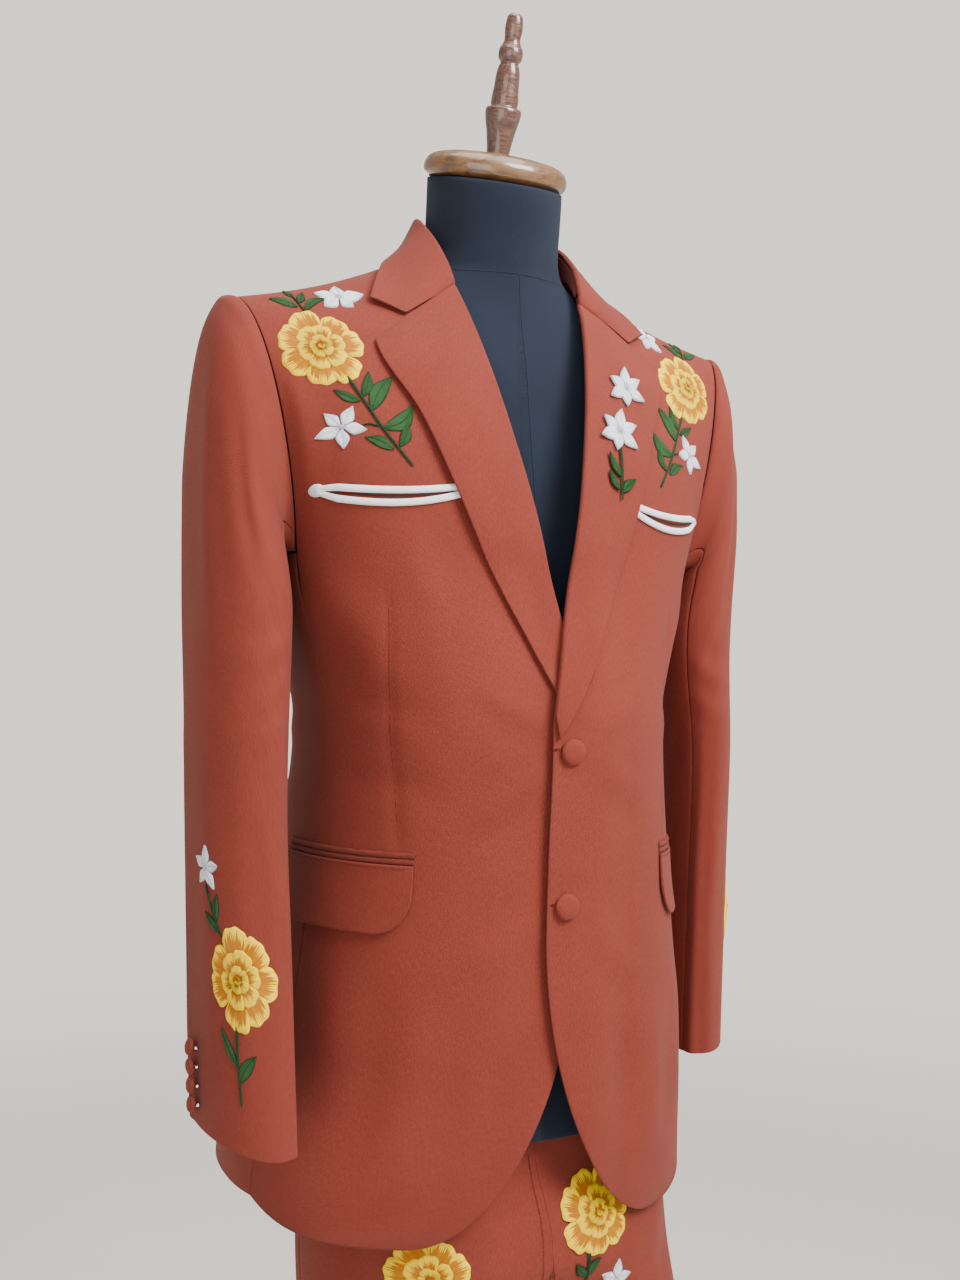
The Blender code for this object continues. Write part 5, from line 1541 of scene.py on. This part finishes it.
def build_front_buttons():
    """Two buttons, the upper one pulling its hole further over."""
    width = settings().button_width
    holes = Patchwork()
    for k, (level, tip, hole_x) in enumerate(zip(BUTTON_LEVELS, (-0.0008, 0.0015), (-0.006, -0.0035)), 1):
        x, at = np.array([0.0]), np.array([level])
        seat = cloth_at(x, at, 0.0006, "left")[0]
        normal = (cloth_at(x, at, 0.02, "left")[0] - seat) * (1, 1, 0) + (0, 0, tip)
        covered_button("front_button_cover_%d" % k, "front_button_%d" % k, seat, normal, width / 2, 0.0052)
        buttonhole(holes, hole_x, level + 0.0016, 0.0095)
    fit(holes.make("front_buttonholes", seam_thread_and_groove_shade()))


def build_cuff_buttons(side):
    """Four buttons on metal shanks, each leaning its own way."""
    width = settings().cuff_button_width
    shanks = Patchwork()
    turns = np.linspace(0, pi, 12)
    for k, row in enumerate(cuff_button_rows(side)):
        row, angle = np.array([row]), np.array([back_seam_at(row) + CUFF_BUTTON_TURN])
        seat = worn(sleeve_out(row, angle, side, 0.0016), side, "sleeve")[0]
        above = worn(sleeve_out(row, angle, side, 0.02), side, "sleeve")[0]
        normal = unit(unit(above - seat) + (0, 0, 0.14 * sin(2.3 * k + 0.6)))
        number = "%s_%d" % (side, k + 1)
        covered_button("cuff_button_cover_" + number, "cuff_button_" + number, seat + normal * 0.0022,
                       normal, width / 2, 0.004)
        across = unit(np.cross(normal, (0, 0, 1)))
        loop = seat - normal * 0.0012
        loop = loop + np.outer(np.cos(turns) * 0.005, across) + np.outer(np.sin(turns) * 0.0034, normal)
        shanks.add_cord(loop, (0, 0, 1), 0.0008, 0.0012, 8)
    fit(shanks.make("cuff_button_shanks_" + side, polished_metal()))


def build_buttons():
    build_front_buttons()
    for side in SIDES:
        build_cuff_buttons(side)


# Pieces of the trousers

def fly_line(k):
    """Stitching of the fly, just beside the centre seam."""
    level = mix(*FLY_STITCHES, k)
    return thigh_cloth(hang(level) - 0.0055 - 0.006 * k, level, 0.0001, "right")


def leg_grid(way, side):
    """Face points of a leg's front (way 1) or back (way -1), closed at the centre down to the fork."""
    hip, leg = np.linspace(BAND_LOW - SEAM, -0.95, 72), np.linspace(-0.95, TROUSER_HEM, 80)
    shares = np.linspace(0.0008, 1.0, 64)[None, :]
    level = np.concatenate([hip, leg[1:]])[:, None] + 0 * shares
    around = way * shares + 0 * level
    inside = smooth((RIM - 0.004 - level) / 0.03)
    grid = trouser_out(around, level, leg_rise(around, level) * inside)
    centre = smooth((shares - 0.8) / 0.2) * smooth((level - FORK + 0.012) / 0.024)
    grid[..., 0] = np.maximum(grid[..., 0] * (1 - centre), SEAM / 2)
    y = grid[..., 1] * way
    limit = read(LEG, level)[1] * way - SEAM / 2
    grid[..., 1] = np.where(level < FORK + FORK_BLEND * 0.3, np.minimum(y, limit), y) * way
    return mirrored(grid, side) + stack(hang(level), 0, 0)


def build_trousers():
    suit = settings()
    for side in SIDES:
        for part, way in (("front", 1), ("back", -1)):
            sew("trouser_%s_cloth_%s" % (part, side), "trouser_%s_%s" % (part, side), leg_grid(way, side),
                (0, -way, 0), suit.cloth_thickness, rests_on=["waistband"])
        if side == "left":
            fit(stitch_run("fly_stitches", fly_line, 62, 0.002, 0.00025, FORE))
    turns = np.linspace(-179.0, 179.0, 140)[None, :]
    level = np.linspace(BAND_LOW, BAND_TOP, 12)[:, None]
    half, front, back = read(HIP, level + 0 * turns)
    grid = stack(*oval(turns, half, front, back, HIP_SQUARE, HIP_Y), level)
    sew("waistband_cloth", "waistband", grid, grid * (1, 1, 0), suit.turned_thickness, rests_on=["hip_block"])


# Embroidery

# Rings of a flower: petals, then inner edge, outer edge and height of the ring
ROSE_RINGS = ((7, 0.28, 1.0, 0.0006), (6, 0.12, 0.6, 0.0018), (5, 0.03, 0.3, 0.0029))
# Leaves of each place: root x, level, tip x, level, width, bend
CHEST_LEAVES = (
    (0.1498, -0.0855, 0.144, -0.064, 0.0085, 0.06),
    (0.1445, -0.0965, 0.1262, -0.067, 0.0135, -0.08),
    (0.152, -0.089, 0.1705, -0.08, 0.008, -0.05),
    (0.1375, -0.1105, 0.113, -0.0895, 0.014, 0.16),
    (0.1255, -0.1245, 0.1192, -0.104, 0.0092, 0.1),
    (0.13, -0.127, 0.1505, -0.1175, 0.0098, 0.08),
    (0.1885, -0.01, 0.208, -0.003, 0.009, 0.08),
    (0.1893, 0.0, 0.193, 0.008, 0.006, 0.0),
    (0.1865, -0.0055, 0.18, 0.0055, 0.0065, 0.0),
    (0.1835, -0.013, 0.1655, 0.0, 0.007, -0.14),
)
LAPEL_LEAVES = (
    (0.0625, -0.1375, 0.052, -0.118, 0.008, 0.06),
    (0.0595, -0.149, 0.0495, -0.133, 0.0075, 0.06),
    (0.0625, -0.15, 0.0785, -0.1385, 0.0088, 0.06),
)
SLEEVE_LEAVES = (
    (0.035, -0.49, 0.019, -0.478, 0.008, 0.05),
    (0.031, -0.483, 0.032, -0.463, 0.007, 0.05),
    (0.0475, -0.58, 0.033, -0.555, 0.008, 0.05),
    (0.048, -0.591, 0.062, -0.568, 0.0098, 0.05),
)
THIGH_LEAVES = (
    (-0.0108, -0.779, -0.0225, -0.767, 0.008, 0.08),
    (-0.0108, -0.779, 0.001, -0.766, 0.0085, 0.08),
    (-0.0112, -0.796, -0.032, -0.788, 0.011, 0.08),
    (-0.008, -0.815, 0.015, -0.818, 0.012, 0.08),
    (-0.005, -0.835, -0.024, -0.83, 0.0105, 0.08),
    (0.001, -0.852, 0.019, -0.845, 0.009, 0.08),
)


def petal(patches, place, centre, heading, inner, outer, spread, lift, phase, pale):
    """One broad scalloped petal, radial stitches from its root to its edge."""
    v = np.linspace(0, 1, 15)[:, None]
    u = np.linspace(-1, 1, 19)[None, :]
    scallop = 0.016 * np.cos(2.9 * pi * u + phase)
    edge = outer * (1 - 0.05 * np.abs(u)**2 - 0.2 * np.abs(u)**6 + scallop)
    r = mix(inner, edge, v)
    theta = heading + spread * u * (1.0 - 0.1 * v)
    dome = np.sin(pi * np.clip(0.12 + 0.8 * v, 0, 1))**0.6 * (1 - 0.45 * np.abs(u)**4)
    out = lift + 0.0011 * dome + 0.0004 * u
    brink = (v > 0.99) | (np.abs(u) > 0.99)
    out = np.where(brink, np.minimum(out - 0.0012, lift * 0.5), out)
    uvs = stack((u + 1) / 2, v + pale)
    patches.add_grid(place(centre[0] + r * np.cos(theta), centre[1] + r * np.sin(theta), out), uvs)


def rose(patches, place, centre, radius, turn):
    """Layered flower: seven broad petals, a rosette of six, a heart of five and a small round eye."""
    for ring, (count, inner, outer, lift) in enumerate(ROSE_RINGS):
        for k in range(count):
            heading = turn + 2 * pi * (k + 0.37 * ring) / count + 0.06 * sin(3.7 * k + ring)
            size = outer * (1 + 0.05 * sin(2.1 * k + 1.3 * ring))
            petal(patches, place, centre, heading, inner * radius, size * radius, 1.22 * pi / count, lift,
                  1.7 * k, 0.16 * ring)
    ring_eye(patches, place, centre, 0.0022)


def ring_eye(patches, place, centre, radius):
    """Small cord ring over a low dome."""
    turns = np.linspace(0, 2 * pi, 25)[:-1]
    path = place(centre[0] + radius * np.cos(turns), centre[1] + radius * np.sin(turns), 0.0044)
    heart = place(np.full(24, centre[0]), np.full(24, centre[1]), 0.02)
    patches.add_cord(path, unit(heart - path), 0.001, 0.0008, 8, closed=True)
    r, t = np.linspace(0, 1, 4)[:, None], np.append(turns, turns[0])[None, :]
    dome = place(centre[0] + radius * r * np.cos(t), centre[1] + radius * r * np.sin(t), 0.004)
    patches.add_grid(dome, stack(0.5 + 0 * t, 0.6 - 0.4 * r))


def blade(patches, place, root, tip, width, lift=0.0005, bend=0.0, tall=0.0006, point=1.8):
    """Pointed leaf or star petal between two spots, widest before its middle, folded along its midrib."""
    root, tip = np.asarray(root, float), np.asarray(tip, float)
    along = tip - root
    aside = np.array([-along[1], along[0]]) / np.linalg.norm(along)
    v = np.linspace(0, 1, 17)[:, None]
    u = np.linspace(-1, 1, 13)[None, :]
    widest = np.log(0.5) / np.log(0.46)
    half = width / 2 * (1 - np.abs(2 * v**widest - 1)**point) + 0.00012
    sideways = half * u + bend * np.linalg.norm(along) * np.sin(pi * v)
    out = lift + tall * (1 - u**2)**0.5 - 0.55 * tall * np.exp(-(u / 0.16)**2) + 0 * v
    out = np.where(np.abs(u) > 0.99, -0.0003, out)
    a, b = (root[axis] + along[axis] * v + aside[axis] * sideways for axis in (0, 1))
    patches.add_grid(place(a, b, out), stack((u + 1) / 2, v))


def star(patches, place, centre, radius, count, turn, stretch=1.0):
    """Flower of pointed white petals round a small knot."""
    for k in range(count):
        heading = turn + 2 * pi * k / count + 0.09 * sin(4.1 * k)
        way = np.array([cos(heading), sin(heading) * stretch])
        root = centre + 0.08 * radius * way
        tip = centre + radius * (1 + 0.12 * sin(2.7 * k + 0.4)) * way
        blade(patches, place, root, tip, radius * 0.56, 0.0005 + 0.0002 * (k % 2), 0.0, 0.0009, 1.45)
    r = np.linspace(0, 1, 5)[:, None]
    t = np.linspace(0, 2 * pi, 15)[None, :]
    a, b = centre[0] + 0.13 * radius * r * np.cos(t), centre[1] + 0.13 * radius * r * np.sin(t)
    out = np.where(r > 0.99, 0.0004, 0.0022 * np.sqrt(1 - 0.9 * r**2)) + 0 * t
    patches.add_grid(place(a, b, out), stack(0.5, r + 0 * t))


def stem(patches, place, spots, radius):
    """Rope of thread through a few spots, thinning to its end."""
    spots = np.asarray(spots, float)
    run = run_of(spots)
    at = np.linspace(0, run[-1], max(12, int(run[-1] / 0.0016)))
    a, b = read(np.column_stack([run, spots]), at)
    path = place(a, b, 0.0004)
    thin = radius * (1 - 0.25 * at / run[-1])
    patches.add_cord(path, unit(place(a, b, 0.01) - path), thin, thin, 8)


class Needlework:
    """What is sewn in one place: petals, stars, leaves and stems, each in its own thread."""

    def __init__(self, place):
        self.place = place
        self.petals, self.stars, self.leaves, self.stems = Patchwork(), Patchwork(), Patchwork(), Patchwork()

    def rose(self, centre, radius, turn, place=None):
        rose(self.petals, place or self.place, centre, radius, turn)

    def star(self, centre, radius, count, turn, stretch=1.0):
        star(self.stars, self.place, centre, radius, count, turn, stretch)

    def stem(self, radius, *spots):
        stem(self.stems, self.place, spots, radius)

    def add_leaves(self, table):
        for x0, z0, x1, z1, width, bend in table:
            blade(self.leaves, self.place, (x0, z0), (x1, z1), width, bend=bend)

    def finish(self, name):
        threads = (("petals", self.petals, petal_thread), ("stars", self.stars, star_thread),
                   ("leaves", self.leaves, leaf_thread), ("stems", self.stems, stem_thread))
        for label, patches, thread in threads:
            if patches.count:
                fit(patches.make("%s_%s" % (name, label), thread()))


def chest_embroidery(side):
    """Rose with its leaves, twigs and two stars, between shoulder and chest pocket."""
    work = Needlework(lambda x, level, out: cloth_at(x, level, out, side))
    if side == "right":
        work.rose((0.1765, -0.0455), 0.032, 0.3)
        work.star((0.1665, -0.11), 0.018, 5, 2.05)
        work.star((0.1545, 0.002), 0.0205, 5, 1.62, 0.55)
    else:
        work.rose((0.1715, -0.044), 0.033, 0.3)
        work.star((0.164, -0.106), 0.018, 5, 2.05)
        work.star((0.144, 0.002), 0.018, 5, 1.62, 0.8)
    work.stem(0.0014, (0.16, -0.069), (0.1505, -0.086), (0.137, -0.11), (0.1165, -0.139))
    work.stem(0.0009, (0.14, -0.1085), (0.148, -0.107), (0.154, -0.1095))
    work.stem(0.001, (0.184, -0.013), (0.187, -0.006), (0.19, 0.002))
    work.add_leaves(CHEST_LEAVES)
    work.finish("chest_" + side)


def lapel_embroidery():
    """Two white stars and a leafy twig on the wearer's left lapel."""
    over = LAPEL_LIFT + 0.0042 + settings().turned_thickness
    work = Needlework(lambda x, level, out: settle(front_at(x, level, lap_lift(x, "left") + over + out)))
    work.star((0.083, -0.0595), 0.019, 6, 0.45)
    work.star((0.0665, -0.0985), 0.02, 6, 0.3)
    work.stem(0.0011, (0.0655, -0.113), (0.064, -0.134), (0.061, -0.156))
    work.add_leaves(LAPEL_LEAVES)
    work.finish("lapel_left")


def sleeve_embroidery(side):
    """Star, twig and rose over the cuff, the rose a little narrower than it is tall."""
    shift = 0.0 if side == "right" else -0.03
    middle = 0.0515

    def place(arc, level, out):
        return arm_cloth(arc + shift, level, out, side)

    def narrow(arc, level, out):
        return place(middle + 0.8 * (arc - middle), level, out)
    work = Needlework(place)
    work.rose((middle, -0.519), 0.035, 0.9, narrow)
    work.star((0.02, -0.446), 0.0155, 5, 1.55)
    work.stem(0.001, (0.0205, -0.459), (0.027, -0.476), (0.036, -0.492))
    work.stem(0.0011, (0.047, -0.551), (0.0475, -0.58), (0.049, -0.603))
    work.add_leaves(SLEEVE_LEAVES)
    work.finish("sleeve_" + side)


def thigh_embroidery(side):
    """Rose over a leafy stem with a star, on the front of the thigh."""
    sign, middle, drop, size = (1, 0.052, 0.0, 0.034) if side == "left" else (-1, -0.09, -0.034, 0.0305)
    work = Needlework(lambda a, b, out: thigh_cloth(middle + sign * a, b + drop, out, side))
    work.rose((0.0, -0.7315), size, 0.15)
    work.star((0.02, -0.79), 0.017, 5, 1.5)
    work.stem(0.0012, (-0.01, -0.761), (-0.011, -0.79), (-0.006, -0.825), (0.004, -0.865))
    work.add_leaves(THIGH_LEAVES)
    work.finish("thigh_" + side)


# Form, cap and stand

def build_form():
    """Jersey over the form and its recess, with the cover's seams."""
    turns = np.arange(0, 360, 2.5)

    def ring(level, out=0.0):
        return form_at(turns, np.full(turns.shape, level), out)
    inner = [ring(level, -RECESS_WALL) for level in (RECESS_TOP, RIM + 0.03, RIM)]
    inner[0][:, 2] = RECESS_TOP
    rim = [ring(RIM + up, -inward) for up, inward in ((0, 0.003), (0.0003, 0.0012), (0.0012, 0.0003))]
    levels = np.concatenate([np.linspace(RIM + 0.003, -0.1, 70), np.linspace(-0.1, 0.1276, 60)[1:]])
    rings = np.array(inner + rim + [ring(level) for level in levels])
    points, faces = close_rings(rings)
    uvs = stack(turns / 360 * FORM_GIRTH, rings[:, 0, 2][:, None]).reshape(-1, 2)
    uvs = np.concatenate([uvs, uvs[:1], uvs[-1:]])
    fit(make_piece("form_jersey", points, faces, uvs, jersey_cloth()), ["form_body"])
    seams = Patchwork()
    turn = np.linspace(0, 360, 145)[:-1]
    path = form_at(turn, NECKLINE + 0.022 * smooth((1 - np.cos(np.radians(turn))) / 2), 0.0001)
    seams.add_cord(path, unit(path * (1, 1, 0)), 0.0005, 0.0003, 6, closed=True)
    for centre, top in ((0.0, NECKLINE), (180.0, 0.06)):
        level = np.linspace(top, RIM + 0.004, 160)
        path = form_at(np.full(level.shape, centre + 0.01), level, 0.0001)
        seams.add_cord(path, FORE, 0.00045, 0.0003, 6)
    fit(seams.make("form_seams", jersey_seam()))


def tilted(radius, height, turns, base, squash=1.0):
    """Points round the neck's tilted axis."""
    axis = np.array([0, -sin(NECK_TILT), cos(NECK_TILT)])
    fore = np.array([0, -cos(NECK_TILT), -sin(NECK_TILT)])
    side = np.array([1.0, 0, 0])
    round_it = np.outer(np.sin(turns), side) + np.outer(np.cos(turns), fore) * squash
    return base + axis * height + round_it * radius


def build_cap_and_finial():
    top = FORM[-1]
    seat = np.array([0, (top[2] + top[3]) / 2 + FORM_SET, top[0] + SEAM])
    foot = tilted(0, CAP[-1][1] + SEAM, np.array([0.0]), seat)[0]

    def on_neck(r, h, turns):
        return tilted(r, h, turns, seat, 0.86)

    def on_cap(r, h, turns):
        return tilted(r, h, turns, foot)
    fit(lathe("neck_cap_wood", fine_outline(CAP, 4), on_neck, honey_wood(), 128), ["neck_cap"])
    fit(lathe("finial_wood", fine_outline(FINIAL, 4), on_cap, turned_wood(), 64), ["finial"])


def build_base():
    """Oval plate with a rounded upper edge, as wide and as tall as its solid."""
    size_x, size_y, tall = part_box("base")[1]
    rounding = 0.004
    outline = [(size_x - rounding, 0.0), (size_x - 0.001, 0.001), (size_x, rounding)]
    for a in np.linspace(0, pi / 2, 6):
        outline.append((size_x - rounding + rounding * cos(a), tall - rounding + rounding * sin(a)))
    outline += [(size_x - 0.012, tall), (size_x * 0.5, tall), (0.02, tall)]

    def place(r, h, turns):
        deep = max(size_y - size_x + r, 0.0) or 0.015
        x, y = oval(np.degrees(turns), r, -deep, deep, 2.6, 0.0)
        return stack(x, y, h - SHOULDER)
    fit(lathe("base_plate", outline, place, stand_steel(), 160), ["base"])


def build_post(side):
    """Tube as thick and as tall as its solid."""
    low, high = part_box("post_" + side)
    middle, radius = (low + high) / 2, (high.x - low.x) / 2

    def place(r, h, turns):
        return stack(middle.x + r * np.sin(turns), middle.y + r * np.cos(turns), h - SHOULDER)
    outline = [(radius, low.z), (radius, middle.z), (radius, high.z)]
    fit(lathe("post_tube_" + side, outline, place, stand_steel(), 48), ["post_" + side])


def build_stand():
    build_base()
    for side in SIDES:
        build_post(side)
    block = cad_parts["hip_block"]
    block.data.materials.clear()
    block.data.materials.append(stand_steel())


# Stage

# Lamps: name, place, width, power; and the point that they face
LAMPS = (
    ("key", (0.8, -1.7, 2.9), 1.2, 132.0),
    ("fill", (-1.8, -2.4, 1.4), 2.0, 38.0),
    ("top", (0.0, -0.4, 3.6), 1.8, 52.0),
    ("back", (0.6, 2.6, 2.6), 1.8, 26.0),
)
LAMP_AIM = Vector((0.0, 0.0, 1.35))
CAMERA_SPOT = (-0.533, -1.101, SHOULDER - 0.286)
CAMERA_HEADING, CAMERA_PITCH, CAMERA_ROLL = radians(25.84), radians(0.75), radians(1.12)
FLOOR_REACH = 30.0


def floor_finish():
    """Pale floor that fades into the plain background far off."""
    suit = settings()
    finish, tree, shader = new_finish("pale floor")
    color = tuple(suit.floor_color)
    speck = node(tree, "ShaderNodeTexNoise", {"Scale": 40.0, "Detail": 3.0}).outputs["Fac"]
    base = mix_color(tree, speck, shaded(color, 0.97), shaded(color, 1.02))
    feed(tree, shader, {"Base Color": base, "Roughness": 0.9})
    spot = node(tree, "ShaderNodeTexCoord").outputs["Object"]
    away = node(tree, "ShaderNodeVectorMath", {0: spot}, operation="LENGTH").outputs["Value"]
    haze = node(tree, "ShaderNodeEmission", {"Color": (*suit.wall_color, 1.0), "Strength": suit.wall_seen})
    blend = {0: ramp(tree, away, 1.2, 5.5), 1: shader.outputs[0], 2: haze.outputs[0]}
    fade = node(tree, "ShaderNodeMixShader", blend)
    feed(tree, tree.nodes["Material Output"], {"Surface": fade.outputs[0]})
    return finish


def build_floor():
    corners = np.array([[x, y, -SHOULDER] for x, y in ((-1, -1), (1, -1), (1, 1), (-1, 1))])
    corners[:, :2] *= FLOOR_REACH
    floor = make_piece("floor", corners, [(0, 1, 2, 3)], corners[:, :2], floor_finish())


def build_air():
    """Even light all round, seen by the camera as a plain wall."""
    suit = settings()
    world = bpy.data.worlds.new("studio")
    bpy.context.scene.world = world
    world.use_nodes = True
    air = world.node_tree
    seen = node(air, "ShaderNodeLightPath").outputs["Is Camera Ray"]
    strength = calc(air, "MULTIPLY_ADD", seen, suit.wall_seen - suit.wall_light, suit.wall_light)
    feed(air, air.nodes["Background"], {"Color": (*suit.wall_color, 1.0), "Strength": strength})


def build_lamps():
    for name, place, width, power in LAMPS:
        data = bpy.data.lights.new(name, "AREA")
        data.energy, data.size = power, width
        lamp = bpy.data.objects.new(name, data)
        lamp.location = place
        lamp.rotation_euler = (LAMP_AIM - Vector(place)).to_track_quat("-Z", "Y").to_euler()
        bpy.context.scene.collection.objects.link(lamp)


def build_camera():
    data = bpy.data.cameras.new("photo view")
    data.sensor_fit = "VERTICAL"
    data.sensor_height = 36.0
    data.lens = settings().lens
    camera = bpy.data.objects.new("photo view", data)
    flat = cos(CAMERA_PITCH)
    forward = Vector((sin(CAMERA_HEADING) * flat, cos(CAMERA_HEADING) * flat, sin(CAMERA_PITCH)))
    right = Vector((cos(CAMERA_HEADING), -sin(CAMERA_HEADING), 0.0))
    up = right.cross(forward)
    across = right * cos(CAMERA_ROLL) + up * sin(CAMERA_ROLL)
    upward = up * cos(CAMERA_ROLL) - right * sin(CAMERA_ROLL)
    matrix = camera.matrix_world.copy()
    for k in range(3):
        matrix[k][0], matrix[k][1], matrix[k][2] = across[k], upward[k], -forward[k]
    camera.matrix_world = matrix
    camera.location = CAMERA_SPOT
    bpy.context.scene.collection.objects.link(camera)
    bpy.context.scene.camera = camera


def build_stage():
    build_floor()
    build_air()
    build_lamps()
    build_camera()


# Settings

def color_prop(name, description, value):
    return bpy.props.FloatVectorProperty(
        name=name, description=description, subtype="COLOR", size=3, min=0.0, max=1.0, default=value)


def length_prop(name, description, value):
    return bpy.props.FloatProperty(
        name=name, description=description, unit="LENGTH", default=value, min=0.0, precision=4)


def number_prop(name, description, value):
    return bpy.props.FloatProperty(name=name, description=description, default=value, min=0.0)


class SuitSettings(bpy.types.PropertyGroup):
    """Sizes and colours of the suit."""
    cloth_color: color_prop("Cloth", "Colour of the suit's twill", (0.163, 0.024, 0.0142))
    petal_light: color_prop("Petal edge", "Thread at the edge of each petal", (0.95, 0.62, 0.0))
    petal_deep: color_prop("Petal root", "Thread at the root of each petal", (0.5, 0.172, 0.0))
    star_color: color_prop("Star", "Thread of the white stars", (0.93, 0.95, 1.0))
    leaf_color: color_prop("Leaf", "Thread inside the leaves", (0.027, 0.088, 0.024))
    leaf_edge: color_prop("Leaf edge", "Thread round the leaves and in the stems", (0.0055, 0.027, 0.0095))
    floor_color: color_prop("Floor", "Colour of the floor", (0.8, 0.77, 0.72))
    wall_color: color_prop("Wall", "Colour of the light all round", (0.76, 0.71, 0.64))
    cloth_thickness: length_prop("Cloth thickness", "Wall of a cloth panel", 0.0018)
    turned_thickness: length_prop("Turned thickness", "Wall of a turned or doubled piece", 0.0022)
    button_width: length_prop("Button", "Width of a front button", 0.0205)
    cuff_button_width: length_prop("Cuff button", "Width of a cuff button", 0.0126)
    crease_depth: number_prop("Crease depth", "Share of the creases' full height", 1.3)
    wall_light: number_prop("Wall light", "Strength of the light all round", 0.86)
    wall_seen: number_prop("Wall seen", "Brightness of the plain background", 1.8)
    lens: number_prop("Lens", "Focal length over a 36 mm high frame, in millimetres", 39.04)


# Operators

def build_embroidery():
    for side in SIDES:
        chest_embroidery(side)
        sleeve_embroidery(side)
        thigh_embroidery(side)
    lapel_embroidery()


class SUIT_OT_stage(bpy.types.Operator):
    """Makes the floor, the lights and the camera"""
    bl_idname = "suit.stage"
    bl_label = "Stage"

    def execute(self, context):
        build_stage()
        return {"FINISHED"}


class SUIT_OT_fronts(bpy.types.Operator):
    """Makes the two fronts with their darts"""
    bl_idname = "suit.fronts"
    bl_label = "Jacket fronts"

    def execute(self, context):
        build_fronts()
        return {"FINISHED"}


class SUIT_OT_backs(bpy.types.Operator):
    """Makes the side bodies and the backs"""
    bl_idname = "suit.backs"
    bl_label = "Sides and backs"

    def execute(self, context):
        build_sides_and_backs()
        return {"FINISHED"}


class SUIT_OT_lapels(bpy.types.Operator):
    """Makes the notch lapels"""
    bl_idname = "suit.lapels"
    bl_label = "Lapels"

    def execute(self, context):
        build_lapels()
        return {"FINISHED"}


class SUIT_OT_collar(bpy.types.Operator):
    """Makes the collar's fall and stand"""
    bl_idname = "suit.collar"
    bl_label = "Collar"

    def execute(self, context):
        build_collar()
        return {"FINISHED"}


class SUIT_OT_sleeves(bpy.types.Operator):
    """Makes the two-piece sleeves"""
    bl_idname = "suit.sleeves"
    bl_label = "Sleeves"

    def execute(self, context):
        build_sleeves()
        return {"FINISHED"}


class SUIT_OT_chest_pockets(bpy.types.Operator):
    """Makes the corded smile pockets"""
    bl_idname = "suit.chest_pockets"
    bl_label = "Chest pockets"

    def execute(self, context):
        build_chest_pockets()
        return {"FINISHED"}


class SUIT_OT_hip_pockets(bpy.types.Operator):
    """Makes the welts and flaps"""
    bl_idname = "suit.hip_pockets"
    bl_label = "Hip pockets"

    def execute(self, context):
        build_hip_pockets()
        return {"FINISHED"}


class SUIT_OT_buttons(bpy.types.Operator):
    """Makes the covered buttons and buttonholes"""
    bl_idname = "suit.buttons"
    bl_label = "Buttons"

    def execute(self, context):
        build_buttons()
        return {"FINISHED"}


class SUIT_OT_trousers(bpy.types.Operator):
    """Makes the trousers and their waistband"""
    bl_idname = "suit.trousers"
    bl_label = "Trousers"

    def execute(self, context):
        build_trousers()
        return {"FINISHED"}


class SUIT_OT_embroidery(bpy.types.Operator):
    """Sews the flowers, stars and leaves"""
    bl_idname = "suit.embroidery"
    bl_label = "Embroidery"

    def execute(self, context):
        build_embroidery()
        return {"FINISHED"}


class SUIT_OT_form(bpy.types.Operator):
    """Makes the jersey form and its seams"""
    bl_idname = "suit.form"
    bl_label = "Dress form"

    def execute(self, context):
        build_form()
        return {"FINISHED"}


class SUIT_OT_cap(bpy.types.Operator):
    """Makes the wooden cap and finial"""
    bl_idname = "suit.cap"
    bl_label = "Cap and finial"

    def execute(self, context):
        build_cap_and_finial()
        return {"FINISHED"}


class SUIT_OT_stand(bpy.types.Operator):
    """Makes the posts and the base"""
    bl_idname = "suit.stand"
    bl_label = "Stand"

    def execute(self, context):
        build_stand()
        return {"FINISHED"}


STEPS = (
    SUIT_OT_stage, SUIT_OT_fronts, SUIT_OT_backs, SUIT_OT_lapels, SUIT_OT_collar, SUIT_OT_sleeves,
    SUIT_OT_chest_pockets, SUIT_OT_hip_pockets, SUIT_OT_buttons, SUIT_OT_trousers,
    SUIT_OT_embroidery, SUIT_OT_form, SUIT_OT_cap, SUIT_OT_stand,
)


class SUIT_PT_panel(bpy.types.Panel):
    """Lists the suit's settings and its steps."""
    bl_idname = "SUIT_PT_panel"
    bl_label = "Western suit"
    bl_space_type = "VIEW_3D"
    bl_region_type = "UI"
    bl_category = "Suit"

    def draw(self, context):
        for key in SuitSettings.__annotations__:
            self.layout.prop(context.scene.suit, key)
        for step in STEPS:
            self.layout.operator(step.bl_idname)


CLASSES = (SuitSettings, *STEPS, SUIT_PT_panel)


def register():
    for item in CLASSES:
        bpy.utils.register_class(item)
    bpy.types.Scene.suit = bpy.props.PointerProperty(type=SuitSettings)


def unregister():
    del bpy.types.Scene.suit
    for item in reversed(CLASSES):
        bpy.utils.unregister_class(item)


def main():
    register()
    for step in STEPS:
        getattr(bpy.ops.suit, step.bl_idname.split(".")[1])()


if __name__ == "__main__":
    main()
